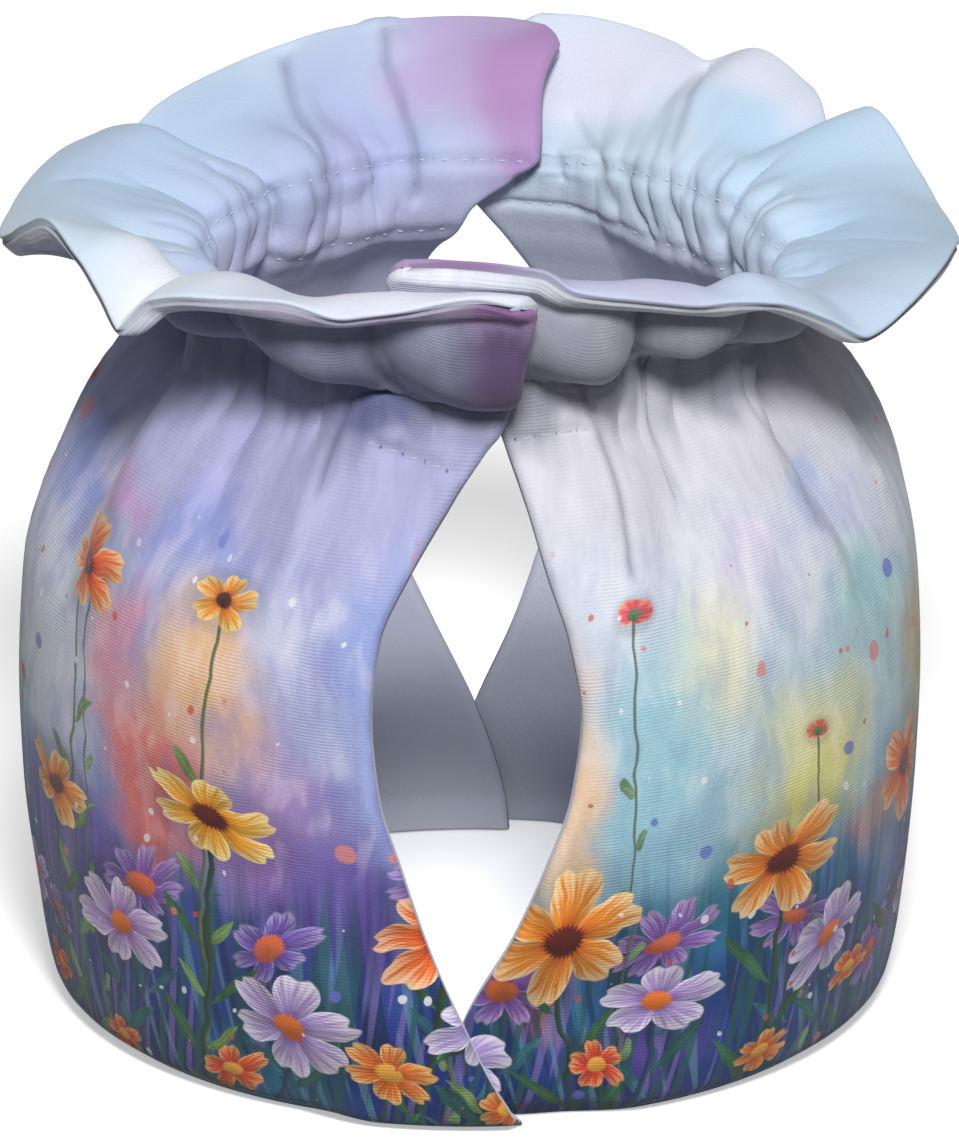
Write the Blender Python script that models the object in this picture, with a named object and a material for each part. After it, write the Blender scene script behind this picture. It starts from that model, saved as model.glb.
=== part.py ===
"""Tea cosy: two padded cloth panels that cross at the front and the back, drawn in at a stitched
neck and opening above it into a waved ruffle.

Tables and sizes are in millimetres and degrees, and the mesh is made in metres. +Z is up, the
cosy stands on its hem at z = 0, and the front slit faces -Y. A turn is counted round the body
from the front, positive towards +X. A level is the height of the cloth above the hem up to the
neck's upper seam, and from there the way along the ruffle out to its rim.
"""

import math

import bmesh
import bpy
from mathutils import Vector

MM = 0.001
HALF_ROUND = 180.0

# Cloth
CLOTH_THICK = 4.5  # two faces of cloth with thin wadding, sewn and turned
EDGE_ROUND = 2.3  # how far in from a turned edge the padding reaches its full thickness
HEM_FLAT = 2.5  # width of the flat that the hem rests on
HEM_UPRIGHT = 6.0  # the level by which the cloth's thickness has left the level of the hem
LAP_GAP = 0.55  # air between the panels where one lies over the other

# Body and neck
NECK_SEAM_LOW = 123.0
NECK_SEAM_TOP = 134.0
NECK_ASIDE = 2.5  # the neck leans this far towards +X
LEAN_FROM = 80.0  # the level where the lean begins
LEAN_LEAVES = 20.0  # how far up the ruffle the lean is gone
CORNER_ROUND = 7.0  # radius of the ruffle's corners at the rim
RUFFLE_SPREAD = 0.6  # about how much reach the ruffle gains for each millimetre of its cloth
RUFFLE_LONG = 38.0  # cloth from the neck's upper seam to the rim
RIM = NECK_SEAM_TOP + RUFFLE_LONG

# The middle of the body, so that the origin is under the middle of the whole box
AXIS_X = -1.6
AXIS_Y = -3.6

# How far the middle of the cloth stands from the axis: level, reach
BODY_REACH = (
    (0.0, 68.7),
    (4.6, 72.2),
    (20.0, 74.8),
    (40.0, 77.0),
    (60.0, 77.8),
    (80.0, 77.0),
    (92.0, 74.8),
    (102.0, 71.2),
    (112.0, 65.5),
    (118.0, 60.8),
    (124.0, 56.2),
    (134.0, 54.2),
)

# The two edges of a panel: level, turn of the edge that lies outside, turn of the one that lies
# inside. They stand apart at the slit and cross above and below it. The second crossing, at the
# back, is the same half a turn on.
EDGE_TURN = (
    (0.0, 7.3, -6.0),
    (11.0, 2.5, -3.6),
    (21.0, -0.7, -0.7),
    (37.0, -5.8, 5.2),
    (51.0, -9.1, 9.7),
    (64.0, -11.9, 13.1),
    (79.0, -13.0, 14.5),
    (92.0, -12.5, 13.0),
    (103.0, -9.6, 10.1),
    (115.4, -4.0, 6.7),
    (124.8, 2.9, 2.9),
    (134.0, 6.0, -11.0),
)

# Ruffle of the left panel: turn, then reach and height of its belly, of its crest and of its rim
LEFT_RUFFLE = (
    (-193.0, 59.5, 139.5, 67.5, 146.5, 77.5, 148.0),
    (-188.0, 59.5, 139.5, 67.5, 146.5, 78.5, 149.0),
    (-176.0, 60.0, 139.0, 68.0, 145.5, 78.5, 149.8),
    (-163.0, 61.0, 138.0, 69.0, 144.5, 78.5, 149.3),
    (-155.0, 61.0, 137.5, 69.0, 143.0, 79.0, 147.3),
    (-147.0, 61.0, 137.5, 69.0, 141.8, 79.5, 144.8),
    (-136.0, 61.0, 136.5, 69.0, 139.0, 80.0, 141.2),
    (-130.5, 61.0, 135.5, 69.0, 136.5, 80.0, 138.5),
    (-125.5, 62.0, 139.0, 70.0, 142.5, 80.0, 139.8),
    (-117.0, 62.0, 138.0, 71.0, 142.0, 81.5, 139.6),
    (-100.0, 62.0, 137.5, 72.0, 141.5, 81.5, 138.8),
    (-84.0, 62.0, 138.0, 72.0, 143.5, 83.0, 141.8),
    (-75.0, 62.0, 138.5, 72.0, 145.5, 84.0, 147.0),
    (-69.0, 63.0, 139.5, 72.0, 148.0, 84.5, 152.0),
    (-62.0, 64.0, 141.0, 72.0, 151.0, 84.5, 156.7),
    (-54.0, 66.0, 141.0, 72.0, 154.0, 85.5, 154.4),
    (-50.0, 67.0, 140.5, 71.0, 151.0, 86.0, 150.5),
    (-45.2, 66.0, 141.0, 70.0, 149.0, 86.5, 145.0),
    (-42.0, 63.0, 141.5, 67.0, 150.0, 83.5, 150.5),
    (-35.9, 65.0, 141.0, 67.0, 151.2, 82.0, 152.8),
    (-31.0, 66.0, 140.0, 67.5, 150.5, 80.0, 153.2),
    (-25.2, 66.5, 139.8, 68.0, 149.3, 79.0, 153.8),
    (-17.6, 65.0, 140.5, 69.0, 152.8, 77.0, 151.8),
    (-13.0, 63.5, 142.0, 69.5, 154.0, 76.3, 152.8),
    (-9.5, 65.0, 141.0, 70.0, 154.5, 76.0, 153.6),
    (1.2, 67.0, 138.0, 70.5, 154.5, 75.5, 156.0),
    (12.0, 67.0, 139.0, 70.5, 152.5, 75.5, 154.5),
)

# Ruffle of the right panel, with the same columns
RIGHT_RUFFLE = (
    (-15.0, 58.5, 142.0, 61.0, 153.5, 64.5, 159.6),
    (0.0, 58.5, 142.0, 61.5, 154.0, 66.0, 159.2),
    (10.0, 61.0, 141.5, 63.0, 155.0, 69.0, 158.0),
    (14.0, 64.0, 141.0, 65.0, 154.2, 71.0, 155.0),
    (19.0, 66.0, 140.5, 66.0, 153.7, 72.0, 153.6),
    (22.0, 65.5, 140.8, 66.5, 153.4, 72.7, 153.0),
    (26.6, 62.5, 142.0, 66.5, 153.0, 73.5, 151.8),
    (32.9, 66.0, 140.8, 67.0, 151.0, 75.0, 150.1),
    (36.8, 67.0, 140.5, 68.0, 149.2, 76.0, 149.7),
    (43.0, 66.0, 140.5, 69.5, 150.8, 78.0, 148.3),
    (46.0, 65.0, 140.0, 70.0, 149.5, 79.5, 146.5),
    (49.0, 67.0, 139.0, 71.0, 147.5, 81.5, 144.0),
    (54.5, 67.0, 138.0, 72.0, 144.0, 85.0, 139.2),
    (63.0, 65.0, 137.5, 73.0, 142.5, 86.3, 141.0),
    (72.0, 63.0, 137.0, 73.0, 141.5, 86.5, 142.0),
    (82.0, 62.0, 136.5, 73.0, 140.0, 86.0, 140.5),
    (96.0, 62.0, 136.0, 73.0, 138.5, 85.8, 135.0),
    (106.0, 62.0, 136.0, 73.0, 138.0, 86.0, 134.0),
    (114.0, 62.0, 136.5, 73.0, 139.0, 86.5, 137.0),
    (123.5, 62.0, 137.5, 73.0, 142.0, 86.2, 144.0),
    (128.7, 61.0, 136.5, 70.0, 138.5, 82.0, 139.2),
    (136.0, 62.0, 138.0, 73.0, 143.0, 86.0, 143.0),
    (143.0, 62.0, 139.0, 73.0, 145.0, 86.0, 147.0),
    (149.2, 61.0, 137.5, 70.0, 141.5, 82.5, 144.0),
    (155.0, 62.0, 137.0, 71.0, 142.5, 84.0, 146.0),
    (165.0, 63.5, 136.5, 73.0, 141.5, 85.5, 148.5),
    (176.0, 65.0, 136.5, 74.0, 139.8, 86.5, 149.8),
)

# Pleats and gathers: turn and level where the fold is faint, turn and level where it is strong,
# depth, width. The cloth steps in on the far side of the fold line, or on both sides of it:
# "more" is towards greater turns, "less" towards smaller ones.
LEFT_FOLDS = (
    (-25.0, 88.0, -20.0, 134.5, 2.4, 9.0, "less"),
    (-44.0, 100.0, -48.0, 134.0, 1.6, 3.5, "both"),
    (-60.0, 78.0, -70.0, 131.0, 2.4, 9.0, "less"),
    (-86.0, 92.0, -89.0, 131.0, 1.8, 8.0, "less"),
    (-104.0, 90.0, -106.0, 133.0, 2.0, 8.0, "less"),
    (-122.0, 96.0, -121.0, 133.0, 1.8, 4.0, "both"),
    (-139.0, 88.0, -137.0, 133.0, 2.0, 8.0, "more"),
    (-154.0, 96.0, -152.0, 133.0, 1.6, 6.0, "more"),
    (-170.0, 158.0, -168.0, 171.0, 1.4, 2.5, "both"),
    (-155.0, 171.0, -149.0, 138.0, 1.8, 3.0, "both"),
    (-141.0, 156.0, -141.0, 123.0, 1.6, 3.0, "both"),
    (-130.0, 158.0, -129.0, 121.0, 1.8, 3.0, "both"),
)

RIGHT_FOLDS = (
    (19.5, 86.0, 18.0, 134.5, 2.6, 9.0, "more"),
    (30.0, 104.0, 33.5, 134.0, 1.8, 3.5, "both"),
    (37.5, 112.0, 41.0, 134.0, 1.6, 3.0, "both"),
    (58.5, 88.0, 53.0, 131.0, 2.4, 9.0, "more"),
    (75.0, 98.0, 76.5, 130.0, 1.8, 8.0, "more"),
    (96.0, 92.0, 95.0, 132.0, 2.0, 8.0, "more"),
    (113.0, 96.0, 112.0, 133.0, 1.8, 4.0, "both"),
    (131.0, 88.0, 129.0, 133.0, 2.0, 8.0, "less"),
    (149.0, 94.0, 147.0, 133.0, 1.8, 6.0, "less"),
    (151.0, 170.0, 140.0, 138.0, 1.6, 3.0, "both"),
    (128.0, 150.0, 127.0, 122.0, 1.8, 3.0, "both"),
    (117.0, 146.0, 116.0, 121.0, 1.8, 3.0, "both"),
    (104.0, 146.0, 103.0, 121.0, 1.8, 3.0, "both"),
)

# A fold deepens over this share of its length, and closes again over this share of it just past
# its strong end. A pleat's edge is this many millimetres wide.
FOLD_GROWS = 0.6
FOLD_ENDS = 1.08
FOLD_CLOSES = 0.14
PLEAT_EDGE = 3.0

# Each panel: the turn that its tables are set to by, where its edges end on the rim as turns
# from the crossing they belong to, its own tables and its colour
PANELS = {
    "left_panel": {
        "half_turn": 0.0,
        "outside_end": 10.0,
        "inside_end": -12.8,
        "ruffle": LEFT_RUFFLE,
        "folds": LEFT_FOLDS,
        "colour": (0.33, 0.36, 0.62, 1.0),
    },
    "right_panel": {
        "half_turn": 180.0,
        "outside_end": -5.1,
        "inside_end": -14.0,
        "ruffle": RIGHT_RUFFLE,
        "folds": RIGHT_FOLDS,
        "colour": (0.60, 0.64, 0.78, 1.0),
    },
}

# Lap: the turns over which a panel keeps its full step out or in, and then eases back
LAP_KEEPS = 18.0
LAP_EASES = 13.0
LAP_NEEDLESS = 13.0  # the edges stand this many degrees apart where the step is gone
LAP_LEAVES = 16.0  # how far up the ruffle its own table keeps the panels apart

# Mesh: distances of the rows and columns that round an edge off, and the rest between them
EDGE_STEPS = (0.0, 0.7, EDGE_ROUND)
HEM_STEPS = (0.0, 0.9, 2.4)
BODY_LEVELS = (5.0, 15.0, 32.0, 50.0, 66.0, 78.0, 87.0, 95.0, 102.0, 108.0, 113.0, 118.0)
NECK_LEVELS = (NECK_SEAM_LOW, 126.5, 130.5, NECK_SEAM_TOP)
RUFFLE_STRIPS = 8
PANEL_STRIPS = 72
EDGE_BLEND = 0.3  # share of a panel's width over which its columns follow its edge
MIDDLE_OUTSIDE = -2.0  # turns that the columns away from the edges are spaced between
MIDDLE_INSIDE = 0.0


def ease(part):
    """From 0 to 1 and flat at both ends."""
    part = min(max(part, 0.0), 1.0)
    return part * part * (3.0 - 2.0 * part)


def mix(start, end, part):
    return start + (end - start) * part


def smooth_columns(rows):
    """A function of a table's first column that gives its other columns, smooth between the rows
    and never past them."""
    keys = [row[0] for row in rows]
    gaps = [after - before for before, after in zip(keys, keys[1:])]
    slopes = []
    for column in range(1, len(rows[0])):
        rises = [(b[column] - a[column]) / gap for a, b, gap in zip(rows, rows[1:], gaps)]
        inner = [2 * a * b / (a + b) if a * b > 0 else 0.0 for a, b in zip(rises, rises[1:])]
        slopes.append([rises[0]] + inner + [rises[-1]])

    def value(key):
        key = min(max(key, keys[0]), keys[-1])
        i = max(k for k in range(len(gaps)) if keys[k] <= key)
        part = (key - keys[i]) / gaps[i]
        found = []
        for column, slope in enumerate(slopes, start=1):
            start, end = rows[i][column], rows[i + 1][column]
            bend_in = slope[i] * gaps[i] - (end - start)
            bend_out = (end - start) - slope[i + 1] * gaps[i]
            bend = (1 - part) * bend_in + part * bend_out
            found.append(mix(start, end, part) + part * (1 - part) * bend)
        return found

    return value


body_reach = smooth_columns(BODY_REACH)
edge_turn = smooth_columns(EDGE_TURN)


def ruffle_section(belly_reach, belly_height, crest_reach, crest_height, rim_reach, rim_height, part):
    """Reach and height along the ruffle: out of the neck, round its belly, over its crest and
    out to its rim."""
    points = [
        Vector((body_reach(NECK_SEAM_TOP)[0], NECK_SEAM_TOP)),
        Vector((belly_reach, belly_height)),
        Vector((crest_reach, crest_height)),
        Vector((rim_reach, rim_height)),
    ]
    chords = [after - before for before, after in zip(points, points[1:])]
    lengths = [chord.length for chord in chords]
    ways = [chord / length for chord, length in zip(chords, lengths)]
    bends = [(before + after) / 2 for before, after in zip(ways, ways[1:])]
    bends = [ways[0]] + bends + [2 * ways[-1] - bends[-1]]
    along = part * sum(lengths)
    i = 0
    while i < len(chords) - 1 and along > lengths[i]:
        along -= lengths[i]
        i += 1
    t = along / lengths[i]
    return (
        points[i] * (1 + 2 * t) * (1 - t) ** 2
        + points[i + 1] * t * t * (3 - 2 * t)
        + bends[i] * lengths[i] * t * (1 - t) ** 2
        - bends[i + 1] * lengths[i] * t * t * (1 - t)
    )


def fold_push(folds, turn, level, reach):
    """How far the folds draw the cloth in along its normal, as a negative push."""
    push = 0.0
    for faint_turn, faint_level, strong_turn, strong_level, depth, width, side in folds:
        along = (level - faint_level) / (strong_level - faint_level)
        if not 0.0 < along < FOLD_ENDS:
            continue
        across = math.radians(turn - mix(faint_turn, strong_turn, along)) * reach
        if side == "both":
            shape = math.exp(-((across / width) ** 2))
        else:
            away = across if side == "more" else -across
            shape = ease(0.5 + away / PLEAT_EDGE) * math.exp(-max(away, 0.0) / width)
        push -= depth * shape * ease(along / FOLD_GROWS) * ease((FOLD_ENDS - along) / FOLD_CLOSES)
    return push


def panel_point(panel, ruffle, from_outside, span, turn, level):
    """A point of the middle of a panel's cloth, from_outside degrees in from the panel's outside
    edge, of span in all. ruffle is the smooth form of the panel's ruffle table."""

    def section(at):
        if at <= NECK_SEAM_TOP:
            return Vector((body_reach(at)[0], at))
        return ruffle_section(*ruffle(turn), (at - NECK_SEAM_TOP) / RUFFLE_LONG)

    here = section(level)
    way = (section(min(level + 0.5, RIM)) - section(max(level - 0.5, 0.0))).normalized()
    outward = Vector((way.y, -way.x * ease(level / HEM_UPRIGHT))).normalized()
    lap = CLOTH_THICK + LAP_GAP
    lap *= 1.0 - ease((HALF_ROUND - span) / LAP_NEEDLESS)
    lap *= 1.0 - ease((level - NECK_SEAM_TOP) / LAP_LEAVES)
    over = 1.0 - ease((from_outside - LAP_KEEPS) / LAP_EASES)
    under = 1.0 - ease((span - from_outside - LAP_KEEPS) / LAP_EASES)
    push = 0.5 * lap * (over - under)
    push += fold_push(panel["folds"], turn, level, here.x)
    here = here + outward * push
    aside = NECK_ASIDE * ease((level - LEAN_FROM) / (NECK_SEAM_TOP - LEAN_FROM))
    aside *= 1.0 - ease((level - NECK_SEAM_TOP) / LEAN_LEAVES)
    angle = math.radians(turn)
    x = AXIS_X + aside + here.x * math.sin(angle)
    y = AXIS_Y - here.x * math.cos(angle)
    return Vector((x, y, here.y))


def panel_levels():
    ruffle_end = RIM - EDGE_ROUND
    ruffle = [mix(NECK_SEAM_TOP, ruffle_end, i / RUFFLE_STRIPS) for i in range(1, RUFFLE_STRIPS)]
    rim = [RIM - step for step in reversed(EDGE_STEPS)]
    return [*HEM_STEPS, *BODY_LEVELS, *NECK_LEVELS, *ruffle, *rim]


def panel_row(panel, ruffle, level):
    """Points across a panel at one level, from its outside edge to its inside one, with their
    distances from the nearer of the two edges."""
    outside, inside = edge_turn(level)
    up_ruffle = ease((level - NECK_SEAM_TOP) / RUFFLE_LONG)
    outside = mix(outside, panel["outside_end"], up_ruffle)
    inside = mix(inside, panel["inside_end"], up_ruffle)
    reach = body_reach(level)[0] + max(0.0, level - NECK_SEAM_TOP) * RUFFLE_SPREAD
    short = max(0.0, CORNER_ROUND - (RIM - level))
    corner = math.degrees((CORNER_ROUND - math.sqrt(CORNER_ROUND**2 - short**2)) / reach)
    outside -= corner
    inside += corner
    span = HALF_ROUND + outside - inside
    near = [math.degrees(step / reach) for step in EDGE_STEPS]
    across = []
    for i in range(1, PANEL_STRIPS):
        part = i / PANEL_STRIPS
        turn = mix(MIDDLE_OUTSIDE, MIDDLE_INSIDE - HALF_ROUND, part)
        turn += (outside - near[-1] - MIDDLE_OUTSIDE) * max(0.0, 1.0 - part / EDGE_BLEND) ** 2
        turn += (inside + near[-1] - MIDDLE_INSIDE) * max(0.0, 1.0 - (1.0 - part) / EDGE_BLEND) ** 2
        across.append(outside - turn)
    degrees = near + across + [span - step for step in reversed(near)]
    points, inset = [], []
    for from_outside in degrees:
        turn = panel["half_turn"] + outside - from_outside
        points.append(panel_point(panel, ruffle, from_outside, span, turn, level))
        inset.append(math.radians(min(from_outside, span - from_outside)) * reach)
    return points, inset


def grid_normals(grid):
    """Unit normals of a grid of points, pointing out of the body."""
    rows, columns = len(grid), len(grid[0])
    normals = []
    for i in range(rows):
        row = []
        for j in range(columns):
            up = grid[min(i + 1, rows - 1)][j] - grid[max(i - 1, 0)][j]
            across = grid[i][min(j + 1, columns - 1)] - grid[i][max(j - 1, 0)]
            row.append(up.cross(across).normalized())
        normals.append(row)
    return normals


def half_thickness(inset):
    """Half the padding's thickness, falling off in a round at a turned edge."""
    short = 1.0 - min(inset / EDGE_ROUND, 1.0)
    return 0.5 * CLOTH_THICK * math.sqrt(1.0 - short * short)


def padded_sheet(mesh, grid, insets, levels):
    """Fills mesh with a closed sheet about a grid: rounded along its sides and its rim, flat
    along its hem."""
    rows, columns = len(grid), len(grid[0])
    normals = grid_normals(grid)
    sheet = bmesh.new()
    faces = {+1: [], -1: []}
    for i in range(rows):
        lean = ease(levels[i] / HEM_UPRIGHT)
        most = mix(HEM_FLAT, CLOTH_THICK, math.sqrt(lean)) / 2
        for side in faces:
            faces[side].append([])
        for j in range(columns):
            half = min(most, half_thickness(min(insets[i][j], RIM - levels[i])))
            normal = normals[i][j]
            normal = Vector((normal.x, normal.y, normal.z * lean)).normalized()
            edge = j in (0, columns - 1) or i == rows - 1
            shared = sheet.verts.new(grid[i][j] * MM) if edge else None
            for side in faces:
                point = grid[i][j] + normal * half * side
                faces[side][i].append(shared or sheet.verts.new(point * MM))
    for points in faces.values():
        for i in range(rows - 1):
            for j in range(columns - 1):
                ring = [points[i][j], points[i][j + 1], points[i + 1][j + 1], points[i + 1][j]]
                if j < columns // 2:
                    ring = ring[1:] + ring[:1]
                sheet.faces.new(ring[:3])
                sheet.faces.new([ring[0], ring[2], ring[3]])
    for j in range(columns - 1):
        ring = [faces[1][0][j], faces[1][0][j + 1], faces[-1][0][j + 1], faces[-1][0][j]]
        sheet.faces.new(list(dict.fromkeys(ring)))
    bmesh.ops.recalc_face_normals(sheet, faces=sheet.faces[:])
    sheet.to_mesh(mesh)
    sheet.free()


def cloth_material(name, colour):
    material = bpy.data.materials.new(name)
    material.use_nodes = True
    surface = material.node_tree.nodes["Principled BSDF"]
    surface.inputs["Base Color"].default_value = colour
    surface.inputs["Roughness"].default_value = 0.75
    surface.inputs["Metallic"].default_value = 0.0
    return material


def build_panel(name):
    panel = PANELS[name]
    ruffle = smooth_columns(panel["ruffle"])
    levels = panel_levels()
    grid, insets = zip(*(panel_row(panel, ruffle, level) for level in levels))
    mesh = bpy.data.meshes.new(name)
    padded_sheet(mesh, grid, insets, levels)
    mesh.materials.append(cloth_material(name + "_cloth", panel["colour"]))
    mesh.shade_smooth()
    bpy.context.collection.objects.link(bpy.data.objects.new(name, mesh))


for old in list(bpy.data.objects):
    bpy.data.objects.remove(old, do_unlink=True)
for panel_name in PANELS:
    build_panel(panel_name)
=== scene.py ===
import math
from functools import partial

import bpy
import numpy as np
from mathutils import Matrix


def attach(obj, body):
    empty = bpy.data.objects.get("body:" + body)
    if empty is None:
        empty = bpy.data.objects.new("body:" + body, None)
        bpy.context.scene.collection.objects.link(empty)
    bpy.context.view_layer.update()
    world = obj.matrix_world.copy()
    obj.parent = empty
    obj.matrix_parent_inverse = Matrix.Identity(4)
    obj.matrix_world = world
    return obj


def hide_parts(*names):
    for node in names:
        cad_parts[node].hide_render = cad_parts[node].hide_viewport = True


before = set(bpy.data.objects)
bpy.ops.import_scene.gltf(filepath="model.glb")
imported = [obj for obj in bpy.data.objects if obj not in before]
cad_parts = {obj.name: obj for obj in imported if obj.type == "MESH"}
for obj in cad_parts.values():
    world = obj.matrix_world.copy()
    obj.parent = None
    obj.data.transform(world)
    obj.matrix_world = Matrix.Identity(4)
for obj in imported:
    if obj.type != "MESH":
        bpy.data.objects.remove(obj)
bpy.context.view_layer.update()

print("cosy: frame loaded,", len(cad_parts), "panels")

# Lengths are in millimetres and turns in degrees until the meshes are made. A turn is counted
# round the body from the front slit, positive towards +X. A level is the height of the cloth
# up to the neck's upper seam, and from there the way along the ruffle out to its rim.
mm = 0.001


cameraSetup = {
    "pixelsPerMm": 5.64,  # of a picture 959 wide and 1138 high
    "elevation": 22.0,
    "distance": 6500.0,  # far off, so that near and far parts keep one scale
    "target": (-0.1, -3.6, 76.7),
    "sensor": 36.0,
}


def placeCamera(setup):
    data = bpy.data.cameras.new("camera")
    camera = bpy.data.objects.new("camera", data)
    bpy.context.scene.collection.objects.link(camera)
    data.sensor_width = setup["sensor"]  # lies along the picture's longer side, its height
    data.lens = setup["sensor"] * setup["distance"] / (1138 / setup["pixelsPerMm"])
    data.clip_start, data.clip_end = 0.1, 40.0
    tilt = math.radians(setup["elevation"])
    x, y, z = setup["target"]
    away = setup["distance"]
    camera.location = (x * mm, (y - away * math.cos(tilt)) * mm, (z + away * math.sin(tilt)) * mm)
    camera.rotation_euler = (math.pi / 2 - tilt, 0, 0)
    bpy.context.scene.camera = camera


placeCamera(cameraSetup)


cosyCloth = {
    "thick": 4.5,  # two faces of cloth with thin wadding between them
    "edgeRound": 2.3,  # how far in from a turned edge the cloth has its full thickness
    "hemFlat": 2.5,  # width of the flat that the hem rests on
    "hemUpright": 6.0,  # the level where the cloth's thickness has left that of the hem
    "lapGap": 0.55,  # air between the panels where they lap
    "seamLow": 123.0,  # levels of the neck's two seams and of the ruffle's rim
    "seamTop": 134.0,
    "rim": 172.0,
    "neckAside": 2.5,  # the neck leans this far towards +X
    "leanFrom": 80.0,  # level where it starts to lean
    "leanLeaves": 20.0,  # how far up the ruffle it leans no more
    "neckRound": 2.5,  # how softly the ruffle turns out of the neck
    "cornerRound": 7.0,  # radius of the ruffle's corners
    "ruffleSpread": 0.6,  # reach that the ruffle gains for each millimetre of cloth
    "axisX": -1.6,  # the upright that the body is round about
    "axisY": -3.6,
    "foldGrows": 0.6,  # parts of a fold's way where it is full, ends, and closes
    "foldEnds": 1.08,
    "foldCloses": 0.14,
    "foldStep": 1.9,  # width of the step on the steep side of a fold
    "pleatsGrow": (76.0, 38.0),  # level where the pleats start, and how far they grow
    "pleatsFade": (158.0, 26.0),  # level where they are gone, and how far they fade
    "pleatSteep": 0.3,  # the steep part of the cloth from one crest to the next
    "lapKeeps": 18.0,  # turns and levels over which a lap stands off and eases away
    "lapEases": 13.0,
    "lapNeedless": 13.0,
    "lapLeaves": 16.0,
    "edgeBlend": 0.3,  # share of a panel over which the mesh follows its slit edges
}

# level, reach of the middle of the cloth from the axis
bodyReachRows = (
    (0.0, 68.7), (4.6, 72.2), (20.0, 74.8), (40.0, 77.0), (60.0, 77.8), (80.0, 77.0),
    (92.0, 74.8), (102.0, 71.2), (112.0, 65.5), (118.0, 60.8), (124.0, 56.2), (134.0, 54.2),
)

# level, turn of the edge that lies outside, turn of the edge that lies inside
edgeTurnRows = (
    (0.0, 7.3, -6.0), (11.0, 2.5, -3.6), (21.0, -0.7, -0.7), (37.0, -5.8, 5.2),
    (51.0, -9.1, 9.7), (64.0, -11.9, 13.1), (79.0, -13.0, 14.5), (92.0, -12.5, 13.0),
    (103.0, -9.6, 10.1), (115.4, -4.0, 6.7), (124.8, 2.9, 2.9), (134.0, 6.0, -11.0),
)

# turn, then reach and height of the ruffle's belly, of its crest and of its rim
leftRuffle = (
    (-193.0, 59.5, 139.5, 67.5, 146.5, 77.5, 148.0),
    (-188.0, 59.5, 139.5, 67.5, 146.5, 78.5, 149.0),
    (-176.0, 60.0, 139.0, 68.0, 145.5, 78.5, 149.8),
    (-163.0, 61.0, 138.0, 69.0, 144.5, 78.5, 149.3),
    (-155.0, 61.0, 137.5, 69.0, 143.0, 79.0, 147.3),
    (-147.0, 61.0, 137.5, 69.0, 141.8, 79.5, 144.8),
    (-136.0, 61.0, 136.5, 69.0, 139.0, 80.0, 141.2),
    (-130.5, 61.0, 135.5, 69.0, 136.5, 80.0, 138.5),
    (-125.5, 62.0, 139.0, 70.0, 142.5, 80.0, 139.8),
    (-117.0, 62.0, 138.0, 71.0, 142.0, 81.5, 139.6),
    (-100.0, 62.0, 137.5, 72.0, 141.5, 81.5, 138.8),
    (-84.0, 62.0, 138.0, 72.0, 143.5, 83.0, 141.8),
    (-75.0, 62.0, 138.5, 72.0, 145.5, 84.0, 147.0),
    (-69.0, 63.0, 139.5, 72.0, 148.0, 84.5, 152.0),
    (-62.0, 64.0, 141.0, 72.0, 151.0, 84.5, 156.7),
    (-54.0, 66.0, 141.0, 72.0, 154.0, 85.5, 154.4),
    (-50.0, 67.0, 140.5, 71.0, 151.0, 86.0, 150.5),
    (-45.2, 66.0, 141.0, 70.0, 149.0, 86.5, 145.0),
    (-42.0, 63.0, 141.5, 67.0, 150.0, 83.5, 150.5),
    (-35.9, 65.0, 141.0, 67.0, 151.2, 82.0, 152.8),
    (-31.0, 66.0, 140.0, 67.5, 150.5, 80.0, 153.2),
    (-25.2, 66.5, 139.8, 68.0, 149.3, 79.0, 153.8),
    (-17.6, 65.0, 140.5, 69.0, 152.8, 77.0, 151.8),
    (-13.0, 63.5, 142.0, 69.5, 154.0, 76.3, 152.8),
    (-9.5, 65.0, 141.0, 70.0, 154.5, 76.0, 153.6),
    (1.2, 67.0, 138.0, 70.5, 154.5, 75.5, 156.0),
    (12.0, 67.0, 139.0, 70.5, 152.5, 75.5, 154.5),
)

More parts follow.
